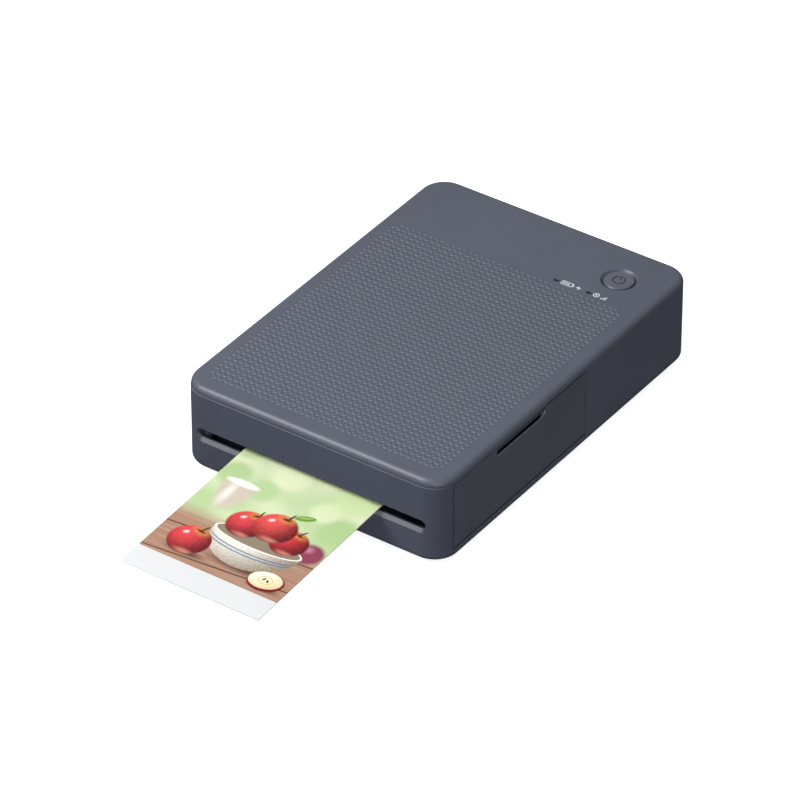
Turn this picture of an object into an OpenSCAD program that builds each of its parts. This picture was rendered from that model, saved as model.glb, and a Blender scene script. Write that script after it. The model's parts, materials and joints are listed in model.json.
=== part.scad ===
// Compact photo printer: a flat case that holds a dye-sublimation print engine.
// An ink cassette goes in behind a door in the right side, sheets go in under a
// cover in the base, and the print comes out of a slot in the front.
// Millimetres. X is to the right, Y to the back, Z up. The origin lies on the
// surface that the feet stand on, under the middle of the case.

/* [Case] */
// Width of the case
case_w = 102.2; // [101:0.1:110]
// Length of the case, front to back
case_l = 145.8; // [144:0.1:156]
// Height from the standing surface to the top
case_h = 32.9; // [32.4:0.1:36]
// Wall of the moulded shells
wall = 1.8; // [1.6:0.1:2]
// Radius of the upright corners in plan
corner_r = 9; // [8:0.5:11]
// Radius of the rolled edge round the top
top_edge_r = 2.2; // [1.4:0.1:2.4]
// Radius of the edge round the base
base_edge_r = 2.2; // [1.4:0.1:2.4]
// Height of the top housing's rim over the front
cap_h = 2.75; // [2.6:0.05:3]
// Step back from the front to the rim over it
cap_inset = 0.35; // [0.1:0.05:0.4]
// Height of the solid band under the cassette door
base_band = 3.1; // [2.8:0.1:3.3]
// Gap round doors and covers
seam = 0.3; // [0.2:0.05:0.4]
// Height of the rubber feet under the case
foot_h = 1.5; // [1.2:0.1:1.8]
// Diameter of a rubber foot
foot_d = 8; // [6:0.5:8.5]
// Diameter of a case screw's thread
screw_d = 2; // [1.6:0.1:2.2]

/* [Front slot] */
// Distance from each rounded end of the slot to the case's side
slot_inset = 5.9; // [5:0.1:9]
// Height of the slot at the front face
slot_h = 5.1; // [4.6:0.1:5.6]
// Height of the sheet's path above the standing surface
path_z = 14.75; // [14.6:0.05:15]
// Fall of the sheet's path from the rollers to the slot, in degrees
path_slope = 3; // [2:0.1:3.2]
// Chamfer round the slot's mouth
slot_chamfer = 1.1; // [0.8:0.1:1.3]

/* [Cassette door] */
// Distance from the front face to the door's front edge
door_setback = 6.9; // [6.4:0.1:7.4]
// Length of the door
door_l = 74.7; // [74.5:0.1:78]
// Distance from the door's front edge to the finger notch
notch_start = 23.7; // [20:0.5:26]
// Length of the finger notch
notch_l = 27.8; // [24:0.2:29]
// Depth of the finger notch below the door's top edge
notch_depth = 3.3; // [2.6:0.1:3.5]
// Radius of the bead that the door turns on
door_bead_r = 1.3; // [1.2:0.05:1.4]
// Radius of the door's hinge pins
door_pin_r = 0.5; // [0.4:0.05:0.55]

/* [Paper cover] */
// Distance from the case's side to each edge of the paper cover
cover_inset = 12.6; // [12:0.1:13.6]
// Distance from the front face to the cover's hinge
cover_setback = 38; // [37.5:0.1:38.5]
// Radius of the cover's hinge pins
cover_pin_r = 0.55; // [0.45:0.05:0.6]
// Width of the cover's snap tongue
snap_w = 16; // [12:1:20]
// Length of the slits beside the snap tongue
snap_l = 11; // [8:0.5:14]

/* [Controls] */
// Diameter of the power button
button_d = 10.4; // [9:0.2:11]
// Distance from the button's centre to the right side and to the back
button_inset = 17.8; // [17:0.2:19]
// How far the power button travels
button_travel = 0.5; // [0.3:0.1:0.6]
// Length of an indicator light
lamp_l = 2.2; // [1.8:0.1:2.6]
// Width of an indicator light
lamp_w = 1.2; // [0.9:0.1:1.5]
// Distance from the back face to the row of indicator lights
lamp_setback = 29.7; // [28:0.1:31]
// Distance between the two indicator lights
lamp_pitch = 12.7; // [11:0.1:14]
// Distance from the second light to the right side
lamp_inset = 21.7; // [20:0.1:23]

/* [Sheet] */
// Width of a sheet
sheet_w = 53.4; // [50:0.1:56]
// Distance from the front face to the stack of sheets
stack_setback = 40.2; // [39.8:0.1:40.6]
// Thickness of a sheet
sheet_t = 0.28; // [0.2:0.02:0.32]
// How far the print stands out of the front
print_out = 64.8; // [60:0.2:68]
// Sheets in the stack
stack_count = 10; // [6:1:10]

/* [Rollers] */
// Distance from the front face to the grip roller's axis
grip_setback = 24.7; // [24.3:0.1:25]
// Radius of the grip roller
grip_r = 3; // [2.8:0.05:3.05]
// Radius of the pinch roller
pinch_r = 2.5; // [2.2:0.05:2.55]
// Radius of the platen roller
platen_r = 4; // [3.8:0.05:4.1]
// Distance from the grip roller's axis to the platen roller's axis
platen_offset = 7.4; // [7.3:0.05:7.6]
// Radius of the pickup tyres
pickup_r = 3.4; // [3.2:0.05:3.5]
// Radius of the rollers' shafts
shaft_r = 1.5; // [1.3:0.05:1.6]

/* [Gears] */
// Module of every gear
gear_m = 0.6; // [0.58:0.005:0.61]
// Width of a gear
gear_w = 2.6; // [2:0.1:3]
// Teeth on a motor's pinion
pinion_teeth = 9; // [9:1:10]
// Teeth on the feed train's idler
feed_idler_teeth = 12; // [11:1:12]
// Teeth on the grip roller's gear
grip_teeth = 20; // [19:1:20]
// Teeth on the ribbon hub's gear
hub_teeth = 18; // [17:1:18]
// Teeth on the pickup roller's gear
pickup_teeth = 16; // [15:1:16]
// Teeth on each large idler of the lift train
big_idler_teeth = 28; // [27:1:28]
// Teeth on the cam train's idler
cam_idler_teeth = 19; // [19:1:20]
// Teeth on the cam clutch's gear
cam_teeth = 16; // [16:1:17]

/* [Ink cassette] */
// Outer radius of each spool housing
pod_r = 6.5; // [6.3:0.1:6.6]
// Wall of the spool housings
pod_wall = 0.8; // [0.6:0.1:1]
// Room in front of the cassette in its bay
cassette_ease = 1.6; // [1.5:0.1:1.8]
// Radius of a spool's core
core_r = 3; // [2.8:0.1:3.2]
// Radius of a spool's flanges
flange_r = 5.3; // [5:0.1:5.4]
// Radius of the ribbon on the supply spool
supply_wound_r = 4.8; // [4:0.1:5]
// Radius of the ribbon on the take-up spool
take_up_wound_r = 3.8; // [3.4:0.1:5]
// Thickness of the ribbon as drawn
ribbon_t = 0.1; // [0.08:0.01:0.14]

/* [Engine frame] */
// Width of the bays between the engine's side frames and the case walls
gear_bay = 7.3; // [7.2:0.1:7.6]
// Thickness of the sheet-metal side frames
frame_t = 1; // [0.8:0.1:1.2]
// Diameter of the feed motor
feed_motor_d = 10.4; // [9.6:0.1:10.6]
// Length of the feed motor
feed_motor_l = 26; // [20:1:32]
// Diameter of the lift motor
lift_motor_d = 12; // [10:0.2:12.2]
// Length of the lift motor
lift_motor_l = 22; // [18:1:26]

/* [Hidden] */
$fn = 48;
eps = 0.01;
fit_gap = 0.05;     // radial clearance of a shaft in its bush
nip_gap = 0.05;     // clearance between a sheet and a roller
clear = 0.3;        // clearance between neighbouring engine parts

// Case planes
side_x = case_w / 2;
front_y = -case_l / 2;
back_y = case_l / 2;
base_z = foot_h;
floor_z = base_z + wall;
ceil_z = case_h - wall;
band_z = base_z + base_band;
cap_z = case_h - cap_h;
split_z = base_z + base_edge_r;
part_gap = 0.12;    // line between the two housings
lip_t = 1;
lip_ease = 0.15;
lip_h = 1.6;
in_x = side_x - wall;
frame_x = in_x - gear_bay;
slot_w = case_w - 2 * slot_inset;
cover_w = case_w - 2 * cover_inset;
in_front = front_y + wall;
in_back = back_y - wall;
inner_edge_r = 0.6;

// Doors and covers
door_front = front_y + door_setback;
door_back = door_front + door_l;
door_bead_x = side_x - door_bead_r;
door_bead_z = band_z + seam + door_bead_r;
door_top = cap_z - seam;
door_pin_l = 1;
door_rib_inset = 13;
stop_z = door_bead_z + door_bead_r + clear;
stop_gap = 0.5;     // from the inside of the wall to the ribs behind the door
notch_front = door_front + notch_start;
notch_back = notch_front + notch_l;
notch_z = cap_z - notch_depth;
notch_r = 2.6;
notch_rim_t = 0.6;  // door's rim along the notch
notch_relief = 1.4; // how much lower the door is cut behind that rim
tab_z = notch_z + 0.65;
tab_x = side_x - notch_rim_t - 0.6;
tab_t = 1.1;
cover_t = wall;
cover_bead_r = cover_t / 2;
cover_axis_y = front_y + cover_setback;
cover_axis_z = base_z + cover_bead_r;
cover_back = in_back - 1.2;
cover_pin_l = 1.6;
slit_w = 0.6;
lug_l = 2.8;

// Controls
button_x = side_x - button_inset;
button_y = back_y - button_inset;
button_top = case_h - 0.15;
button_flange = 0.9;
button_gap = 0.25;
dish_r = button_d / 2 + 1.1;
dish_depth = 0.8;
mark_r = button_d * 0.2;
mark_line = 0.42;
mark_depth = 0.15;
lamp_y = back_y - lamp_setback;
lamp_x = [side_x - lamp_inset - lamp_pitch, side_x - lamp_inset];
lamp_recess = 0.5;

// Bosses, screws and feet
boss_x = side_x - 7.2;
boss_y = case_l / 2 - 4.7;
boss_r = 2;
boss_z = base_z + 14.5;
screw_head_r = screw_d * 0.95;
screw_head_h = 1.3;
screw_l = 18;
foot_x = side_x - 6.8;
foot_y = case_l / 2 - 14.4;
foot_seat = 0.5;

// Sheet path, which falls from the platen to the slot, as [y, z] points
function path_at(y) = [y, path_z + (y - front_y) * tan(path_slope)];
function beside_path(y, off) = path_at(y) + off * [-sin(path_slope), cos(path_slope)];
slot_in_h = slot_h - 2 * slot_chamfer;
slot_in_w = slot_w - 2 * slot_chamfer;

// Rollers, as [y, z] of each axis
grip_y = front_y + grip_setback;
platen_y = grip_y + platen_offset;
grip_at = beside_path(grip_y, -sheet_t / 2 - nip_gap - grip_r);
pinch_at = beside_path(grip_y, sheet_t / 2 + nip_gap + pinch_r);
platen_at = beside_path(platen_y, -sheet_t / 2 - nip_gap - platen_r);
platen_top = path_at(platen_y)[1] + sheet_t / 2;
roller_half = 34;
bush_r = 2.5;
bush_flange_r = 3.1;
bush_flange_t = 0.6;

// Paper bay
plate_t = 0.5;
plate_z = floor_z + 0.6;
stack_z = plate_z + plate_t + nip_gap;
stack_top = stack_z + stack_count * sheet_t;
pickup_z = stack_top + nip_gap + pickup_r;
stack_front = front_y + stack_setback;
stack_back = in_back - 2.2;
sheet_l = stack_back - stack_front;
plate_front = stack_front + 2;
plate_back = stack_back - 30;
pickup_at = [stack_front + 9.4, pickup_z];
tyre_w = 8;
tyre_x = 12;

// Ink cassette, with its parts' centres as [y, z]
cassette_front = door_front + cassette_ease;
cassette_back = door_back - cassette_ease - 0.1;
cassette_top = door_top - clear;
take_up_at = [cassette_front + pod_r, cassette_top - pod_r];
supply_at = [cassette_back - pod_r, cassette_top - pod_r];
guide_r = 0.7;
ribbon_z = platen_top + 0.8;
low_guide_at = [grip_y + 3.9, ribbon_z + ribbon_t + guide_r];
high_guide_at = [pinch_at[0] + 2.1, pinch_at[1] + pinch_r + guide_r + 0.6];
supply_guide_at = [supply_at[0] - pod_r - 2.4, ribbon_z + ribbon_t + guide_r];
lip_wall = 0.8;
end_web = 1.2;
link_t = 0.9;
cassette_left = -(frame_x - 1);
plate_x = frame_x + frame_t + 0.6;
end_plate_t = 1.5;
cassette_right = plate_x + end_plate_t;
handle_l = in_x - cassette_right - 1.8;
spool_bore_r = 2.1;
spool_left = cassette_left + 1.2 + clear;
spool_right = plate_x - clear;
journal_r = 2.6;

// Thermal head and its cam, as [y, z]
head_front = low_guide_at[0] + guide_r + clear;
head_back = head_front + 16;
head_line_y = platen_y;
head_low = ribbon_z + ribbon_t + 1.4;
head_block_z = head_low + 0.8;
head_block_t = 2.2;
head_half = frame_x - 2.7;
pivot_at = [supply_at[0] - pod_r - 6, head_block_z + 2.4];
pivot_r = 1.25;
cam_at = [head_front + 7.2, head_block_z + 5.2];
bridge_t = 0.9;
bridge_z = ceil_z - 0.2 - bridge_t;
cam_r0 = 1.7;
cam_rise = 0.9;
cam_sweep = 150;
cam_w = 4;
cam_x = head_half - 4;
head_pad_z = cam_at[1] - cam_r0 - 0.1;

// Gear trains, in the plane between the left frame and the case wall
gear_x = -(frame_x + frame_t + 0.5 + gear_w);
stud_r = 1.2;
pinion_r = gear_m * pinion_teeth / 2;
feed_idler_r = gear_m * feed_idler_teeth / 2;
grip_gear_r = gear_m * grip_teeth / 2;
hub_gear_r = gear_m * hub_teeth / 2;
pickup_gear_r = gear_m * pickup_teeth / 2;
big_idler_r = gear_m * big_idler_teeth / 2;
cam_idler_r = gear_m * cam_idler_teeth / 2;
cam_gear_r = gear_m * cam_teeth / 2;

// Where two circles meet, to the left of the line from the first centre to the second
function meet(a, ra, b, rb) =
    let (d = norm(b - a), u = (b - a) / d, k = (ra * ra - rb * rb + d * d) / (2 * d),
        h = sqrt(max(0, ra * ra - k * k)))
    a + k * u + h * [-u[1], u[0]];
function bearing(a, b) = atan2(b[1] - a[1], b[0] - a[0]);
function step(a, r, angle) = a + r * [cos(angle), sin(angle)];
// The turn that puts a gear of zb teeth in mesh with one of za teeth turned by ta
function mesh_turn(za, ta, zb, angle) =
    angle + 180 - (0.5 - (angle - ta) * za / 360) * 360 / zb;

feed_idler_at = meet(grip_at, grip_gear_r + feed_idler_r, take_up_at, hub_gear_r + feed_idler_r);
feed_motor_z = floor_z + clear + feed_motor_d / 2;
feed_motor_at = [feed_idler_at[0] - sqrt(pow(pinion_r + feed_idler_r, 2)
    - pow(feed_idler_at[1] - feed_motor_z, 2)), feed_motor_z];
front_idler_at = step(pickup_at, pickup_gear_r + big_idler_r, 36);
rear_idler_at = step(front_idler_at, 2 * big_idler_r, 0);
lift_motor_at = step(rear_idler_at, big_idler_r + pinion_r, 22);
cam_idler_at = meet(cam_at, cam_gear_r + cam_idler_r, front_idler_at, big_idler_r + cam_idler_r);

grip_turn = 0;
feed_idler_turn = mesh_turn(grip_teeth, grip_turn, feed_idler_teeth, bearing(grip_at, feed_idler_at));
feed_pinion_turn = mesh_turn(feed_idler_teeth, feed_idler_turn, pinion_teeth,
    bearing(feed_idler_at, feed_motor_at));
hub_turn = mesh_turn(feed_idler_teeth, feed_idler_turn, hub_teeth, bearing(feed_idler_at, take_up_at));
pickup_turn = 0;
front_idler_turn = mesh_turn(pickup_teeth, pickup_turn, big_idler_teeth,
    bearing(pickup_at, front_idler_at));
rear_idler_turn = mesh_turn(big_idler_teeth, front_idler_turn, big_idler_teeth,
    bearing(front_idler_at, rear_idler_at));
lift_pinion_turn = mesh_turn(big_idler_teeth, rear_idler_turn, pinion_teeth,
    bearing(rear_idler_at, lift_motor_at));
cam_idler_turn = mesh_turn(big_idler_teeth, front_idler_turn, cam_idler_teeth,
    bearing(front_idler_at, cam_idler_at));
cam_gear_turn = mesh_turn(cam_idler_teeth, cam_idler_turn, cam_teeth, bearing(cam_idler_at, cam_at));

// Electronics
board_z = ceil_z - 4.7;
board_t = 1;
board_front = lift_motor_at[0] + lift_motor_d / 2 + 6.4;
board_back = in_back - 3;
board_half = in_x - 6;
standoff_r = 2;
standoffs = [[-board_half + 4, board_front + 4], [board_half - 4, board_front + 4],
    [-board_half + 4, board_back - 9], [10, board_back - 4]];
switch_s = 4;
switch_h = 1.2;
usb_w = 9;
usb_h = 3.2;
usb_l = 7.4;
usb_x = -24;
guide_t = 0.8;
upper_guide_z = path_z + sheet_t / 2 + 0.9;
upper_guide_front = cassette_back + 0.4 + 1.2;
upper_guide_back = back_y - 11;
battery_w = 52;
battery_front = board_front + 2;
battery_l = board_back - 1.2 - battery_front;
battery_h = 7.6;
battery_at = [in_x - 11.3 - battery_w / 2, battery_front + battery_l / 2];

// ---- Shapes ----

// Half of a moulded section: from the middle to its rounded rim
module rim_section(run, h, rt, rb) {
    difference() {
        square([run, h]);
        if (rt > 0) translate([run - rt, h - rt]) difference() {
            square(rt + 1);
            circle(rt);
        }
        if (rb > 0) translate([run - rb, rb]) mirror([0, 1]) difference() {
            square(rb + 1);
            circle(rb);
        }
    }
}

// A block with rounded upright corners and rolled top and bottom edges, from z = 0
module rolled_block(w, l, h, r, rt, rb) {
    half_w = w / 2 - r;
    half_l = l / 2 - r;
    translate([-half_w, -half_l, 0]) cube([2 * half_w, 2 * half_l, h]);
    for (a = [0, 180]) rotate(a) {
        translate([half_w, half_l, 0]) rotate([90, 0, 0]) linear_extrude(2 * half_l)
            rim_section(r, h, rt, rb);
        translate([-half_w, half_l, 0]) rotate([90, 0, 90]) linear_extrude(2 * half_w)
            rim_section(r, h, rt, rb);
        translate([half_w, half_l, 0]) rotate_extrude(angle = 90) rim_section(r, h, rt, rb);
        translate([-half_w, half_l, 0]) rotate(90) rotate_extrude(angle = 90)
            rim_section(r, h, rt, rb);
    }
}

module case_body() {
    translate([0, 0, base_z])
        rolled_block(case_w, case_l, case_h - base_z, corner_r, top_edge_r, base_edge_r);
}

module case_cavity() {
    translate([0, 0, floor_z]) rolled_block(case_w - 2 * wall, case_l - 2 * wall,
        ceil_z - floor_z, corner_r - wall, inner_edge_r, inner_edge_r);
}

// Everything between two corners
module span(a, b) {
    translate(a) cube(b - a);
}

// A flat shape in the Y-Z plane, drawn as [y, z], carried along X from x by len
module along_x(x, len) {
    translate([x, 0, 0]) rotate([90, 0, 90]) linear_extrude(len) children();
}

module rod_x(x, len, at, r) {
    translate([x, at[0], at[1]]) rotate([90, 0, 90]) cylinder(r = r, h = len);
}

module tube_x(x, len, at, r, bore) {
    along_x(x, len) translate(at) difference() {
        circle(r);
        circle(bore);
    }
}

// A bar from a to b with round ends, in the plane
module bar(a, b, t) {
    translate(a) rotate(bearing(a, b)) translate([0, -t / 2]) square([norm(b - a), t]);
    translate(a) circle(t / 2);
    translate(b) circle(t / 2);
}

// Involute gear outline with a drive hex or a running bore of flat faces
pressure_angle = 20;
tooth_ease = 0.07;
function involute(a) = tan(a) * 180 / PI - a;
function flank(r, rb, half) =
    half + involute(pressure_angle) - (r > rb ? involute(acos(rb / r)) : 0);
module gear_outline(teeth, turn, bore, bore_sides) {
    r = gear_m * teeth / 2;
    rb = r * cos(pressure_angle);
    root = r - 1.05 * gear_m;
    tip = r + 0.8 * gear_m;
    half = 90 / teeth - tooth_ease / r * 90 / PI;
    low = max(rb, root + 0.1);
    radii = [root, low, (low + r) / 2, r, (r + tip) / 2, tip];
    difference() {
        rotate(turn) polygon([for (i = [0:teeth - 1]) each concat(
            [for (q = radii) let (a = i * 360 / teeth - flank(q, rb, half)) q * [cos(a), sin(a)]],
            [for (k = [5:-1:0]) let (q = radii[k], a = i * 360 / teeth + flank(q, rb, half))
                q * [cos(a), sin(a)]])]);
        circle(bore, $fn = bore_sides);
    }
}

module gear(teeth, turn, at, bore, bore_sides) {
    along_x(gear_x, gear_w) translate(at) gear_outline(teeth, turn, bore, bore_sides);
}

hex_r = 1.35;
idler_bore = stud_r + 0.12;

// A roller's steel shaft: round through the frames, hexagonal under its gear
module geared_shaft(at, right) {
    rod_x(gear_x + gear_w + eps, right - gear_x - gear_w - eps, at, shaft_r);
    along_x(gear_x - 0.4, gear_w + 0.4 + eps) translate(at) circle(hex_r, $fn = 6);
}

// ---- Case ----

module slot_cut(w, h, y, depth) {
    translate([0, y, path_z]) rotate([-90, 0, 0]) linear_extrude(depth) stadium(w, h);
}

module slot_mouth() {
    slot_cut(slot_in_w, slot_in_h, front_y - 1, wall + 2);
    for (s = [-1, 1]) {
        translate([s * (slot_w - slot_h) / 2, front_y, path_z]) rotate([-90, 0, 0])
            cylinder(r1 = slot_h / 2, r2 = slot_in_h / 2, h = slot_chamfer);
        translate([s * (slot_w - slot_h) / 2, front_y - 2, path_z]) rotate([-90, 0, 0])
            cylinder(r = slot_h / 2, h = 2);
    }
    translate([-(slot_w - slot_h) / 2, 0, 0]) along_x(0, slot_w - slot_h) polygon([
        [front_y - 2, path_z - slot_h / 2], [front_y, path_z - slot_h / 2],
        [front_y + slot_chamfer, path_z - slot_in_h / 2],
        [front_y + slot_chamfer, path_z + slot_in_h / 2], [front_y, path_z + slot_h / 2],
        [front_y - 2, path_z + slot_h / 2]]);
}

module case_corners() {
    for (x = [-boss_x, boss_x], y = [-boss_y, boss_y]) translate([x, y, 0]) children();
}

module door_region() {
    span([in_x - 1, door_front - seam, band_z], [side_x + 1, door_back + seam, cap_z]);
}

// Where the base housing's shell lies: the floor, the front and the band under the door
module base_zone(gap) {
    span([-side_x - 1, front_y - 1, 0], [side_x + 1, back_y + 1, split_z + gap]);
    span([-side_x - 1, front_y - 1, 0], [side_x + 1, door_front + gap, cap_z + gap]);
    span([0, front_y - 1, 0], [side_x + 1, door_back + seam + gap, band_z]);
}

module base_housing() {
    color("#4b4e58") difference() {
        union() {
            difference() {
                intersection() {
                    case_body();
                    base_zone(0);
                }
                case_cavity();
                door_region();
            }
            case_corners() translate([0, 0, floor_z - eps]) cylinder(r = boss_r, h = boss_z - floor_z);
            base_lip();
            front_stop();
            cover_lugs();
        }
        slot_mouth();
        span([-cover_w / 2 - seam, cover_axis_y - cover_bead_r - seam, 0],
            [cover_w / 2 + seam, cover_back + seam, split_z + 2 * lip_h]);
        door_pins(door_pin_r + 0.04, 0.2);
        cover_pins(cover_pin_r + 0.04, 0.2);
        case_corners() {
            cylinder(r = screw_head_r + 0.15, h = base_z + screw_head_h + 0.1);
            cylinder(r = screw_d / 2 + 0.05, h = boss_z + 1);
        }
        for (x = [-foot_x, foot_x], y = [-foot_y, foot_y])
            translate([x, y, 0]) cylinder(r = foot_d / 2 + 0.05, h = base_z + foot_seat);
    }
}

// Rib just inside a housing's wall, from z by h
module inner_rib(z, h) {
    w = case_w - 2 * (wall + lip_ease);
    l = case_l - 2 * (wall + lip_ease);
    r = corner_r - wall - lip_ease;
    translate([0, 0, z]) difference() {
        rolled_block(w, l, h, r, 0, 0);
        translate([0, 0, -1]) rolled_block(w - 2 * lip_t, l - 2 * lip_t, h + 2, r - lip_t, 0, 0);
    }
}

// Rib inside the top housing's side and rear walls that lines the base up
module base_lip() {
    intersection() {
        inner_rib(floor_z - eps, split_z + lip_h - floor_z);
        union() {
            span([-side_x, door_front + 4, 0], [0, back_y, case_h]);
            span([-eps, door_back + 6, 0], [side_x, back_y, case_h]);
        }
    }
}

// Rib behind the front wall that lines the top housing's rim up
module front_lip() {
    intersection() {
        inner_rib(cap_z - lip_h, ceil_z - cap_z + lip_h + eps);
        span([-in_x + 3, front_y, 0], [in_x - 3, door_front - 2, case_h]);
    }
}

// Upright rib that the door closes against in front, with the block round its pin
module front_stop() {
    intersection() {
        case_body();
        union() {
            span([in_x - 2.4, door_front - 1.6, stop_z], [in_x - stop_gap, door_front + 0.5, cap_z - 0.1]);
            span([in_x - 2.4, door_front - 2.2, floor_z], [side_x, door_front - seam, stop_z]);
            span([in_x - 2.4, door_front - 2.2, floor_z], [in_x, door_front - seam - 0.2, cap_z - 0.1]);
        }
    }
}

module rear_stop() {
    span([in_x - 2.4, door_back - 0.5, stop_z], [in_x - stop_gap, door_back + 1.6, ceil_z + eps]);
    span([in_x - 2.4, door_back + seam, band_z + 0.1], [in_x + eps, door_back + 3, ceil_z + eps]);
}

// Blocks beside the opening that hold the paper cover's pins
module cover_lugs() {
    for (s = [-1, 1])
        span([s * (cover_w / 2 + seam + lug_l / 2) - lug_l / 2, cover_axis_y - 2, base_z + 0.5],
            [s * (cover_w / 2 + seam + lug_l / 2) + lug_l / 2, cover_axis_y + 2, floor_z + 0.6]);
}

module door_pins(r, extra) {
    len = door_l + 2 * (seam + door_pin_l + extra);
    translate([door_bead_x, (door_front + door_back) / 2 + len / 2, door_bead_z]) rotate([90, 0, 0])
        cylinder(r = r, h = len);
}

module cover_pins(r, extra) {
    len = cover_w + 2 * (seam + cover_pin_l + extra);
    rod_x(-len / 2, len, [cover_axis_y, cover_axis_z], r);
}

module usb_opening(ease) {
    h = usb_h + 2 * ease;
    w = usb_w + 2 * ease;
    translate([usb_x, in_back - 1, board_z - usb_h / 2]) rotate([-90, 0, 0]) linear_extrude(wall + 2)
        stadium(w, h);
}

// Flat oblong with round ends, w long and h wide
module stadium(w, h) {
    square([w - h, h], center = true);
    for (s = [-1, 1]) translate([s * (w - h) / 2, 0]) circle(h / 2);
}

module top_housing() {
    color("#5d606a") difference() {
        union() {
            difference() {
                translate([0, cap_inset / 2, base_z]) rolled_block(case_w, case_l - cap_inset,
                    case_h - base_z, corner_r, top_edge_r, base_edge_r);
                case_cavity();
                base_zone(part_gap);
                door_region();
            }
            front_lip();
            rear_stop();
            notch_tab();
            case_corners() translate([0, 0, boss_z + 0.1])
                cylinder(r = boss_r, h = ceil_z - boss_z - 0.1 + eps);
            for (p = standoffs) translate([p[0], p[1], board_z + board_t])
                cylinder(r = standoff_r, h = ceil_z - board_z - board_t + eps);
        }
        door_pins(door_pin_r + 0.04, 0.2);
        usb_opening(0.3);
        translate([button_x, button_y, case_h - dish_depth])
            cylinder(r1 = button_d / 2 + button_gap + 0.05, r2 = dish_r, h = dish_depth + eps);
        translate([button_x, button_y, ceil_z - 1]) cylinder(r = button_d / 2 + button_gap, h = wall + 2);
        for (x = lamp_x) translate([x, lamp_y, ceil_z - 1]) linear_extrude(wall + 2)
            stadium(lamp_l + 0.1, lamp_w + 0.1);
        case_corners() translate([0, 0, boss_z - 1])
            cylinder(r = screw_d / 2 + 0.02, h = base_z + screw_head_h + screw_l - boss_z + 1.5);
    }
}

// Scooped tab under the rim that a fingertip slides over to reach the door's edge
module notch_tab() {
    intersection() {
        translate([0, notch_back - seam, 0]) rotate([90, 0, 0]) linear_extrude(notch_l - 2 * seam)
            polygon([[side_x - tab_t, cap_z + 0.6], [side_x - 0.3, cap_z + 0.6],
                [side_x - 0.3, cap_z + 0.2], [side_x, cap_z], [tab_x + 0.2, tab_z + 0.8],
                [tab_x, tab_z], [tab_x - tab_t, tab_z],
                [tab_x - tab_t, ceil_z + 0.2], [side_x - tab_t, ceil_z + 0.2]]);
        along_x(0, side_x) notch_outline(notch_front, notch_back - seam, tab_z, notch_r);
    }
}

// A notch open at the top, with one rounded corner at its foot, towards the back
module notch_outline(front, back, low, r) {
    difference() {
        translate([front, low]) square([back - front, 10]);
        translate([back - r, low]) difference() {
            square([r + 1, r]);
            translate([0, r]) circle(r);
        }
    }
}

module cassette_door() {
    color("#41434d") difference() {
        union() {
            intersection() {
                difference() {
                    case_body();
                    case_cavity();
                }
                span([in_x - 3, door_front + seam / 2, door_bead_z],
                    [side_x, door_back - seam / 2, door_top]);
            }
            intersection() {
                translate([door_bead_x, door_back - seam / 2, door_bead_z]) rotate([90, 0, 0])
                    cylinder(r = door_bead_r, h = door_l - seam);
                case_body();
            }
            door_pins(door_pin_r, -0.1);
            for (y = [door_front + door_rib_inset, door_back - door_rib_inset])
                span([in_x - 0.9, y - 4, door_top - 2.2], [in_x + 0.05, y + 4, door_top - 1]);
        }
        along_x(in_x - 3, wall + 5) notch_outline(notch_front, notch_back, notch_z, notch_r);
        along_x(in_x - 3, wall + 3 - notch_rim_t)
            notch_outline(notch_front, notch_back, notch_z - notch_relief, notch_r);
    }
}

module paper_cover() {
    color("#3d4049") difference() {
        union() {
            span([-cover_w / 2, cover_axis_y, base_z], [cover_w / 2, cover_back, base_z + cover_t]);
            rod_x(-cover_w / 2, cover_w, [cover_axis_y, cover_axis_z], cover_bead_r);
            cover_pins(cover_pin_r, -0.2);
        }
        for (s = [-1, 1]) translate([s * (snap_w + slit_w) / 2 - slit_w / 2, cover_back - snap_l, 0])
            cube([slit_w, snap_l + 1, base_z + cover_t + 1]);
        translate([0, cover_back - snap_l / 2, base_z]) grip_scoop();
        for (i = [-4:4]) translate([i * 7, cover_axis_y + 12, base_z]) grip_groove();
    }
}

// Shallow hollow for a fingertip in the snap tongue
module grip_scoop() {
    translate([-snap_w / 2 + 2, 0, -4.4]) rotate([0, 90, 0]) cylinder(r = 5, h = snap_w - 4);
}

// Shallow moulded groove along the cover
module grip_groove() {
    translate([-0.6, 0, -eps]) cube([1.2, 16, 0.4]);
}

module pressure_plate() {
    half = sheet_w / 2 - 3;
    color("silver") difference() {
        union() {
            span([-half, plate_front, plate_z], [half, plate_back, plate_z + plate_t]);
            for (s = [-1, 1]) span([s * (half - 4) - 2, plate_back - 1, plate_z],
                [s * (half - 4) + 2, plate_back + 4, plate_z + plate_t]);
        }
        for (s = [-1, 1]) span([s * 8 - 3, plate_front + 20, 0], [s * 8 + 3, plate_back - 20, 20]);
    }
}

// Leaf springs between the paper cover and the pressure plate
module pressure_springs() {
    color("gainsboro") for (s = [-1, 1]) translate([s * 18 - 2.5, 0, 0]) along_x(0, 5) polygon([
        [stack_front + 9, floor_z], [stack_front + 12, floor_z], [stack_front + 22, plate_z - 0.22],
        [stack_front + 25, plate_z - 0.22], [stack_front + 25, plate_z - 0.02],
        [stack_front + 21.8, plate_z - 0.02], [stack_front + 11.8, floor_z + 0.2],
        [stack_front + 9, floor_z + 0.2]]);
}

module rubber_feet() {
    color("#1d1e21") for (x = [-foot_x, foot_x], y = [-foot_y, foot_y]) translate([x, y, 0])
        rotate_extrude() polygon([[0, 0], [foot_d / 2 - 0.5, 0], [foot_d / 2, 0.5],
            [foot_d / 2, base_z + foot_seat - 0.02], [0, base_z + foot_seat - 0.02]]);
}

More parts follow.
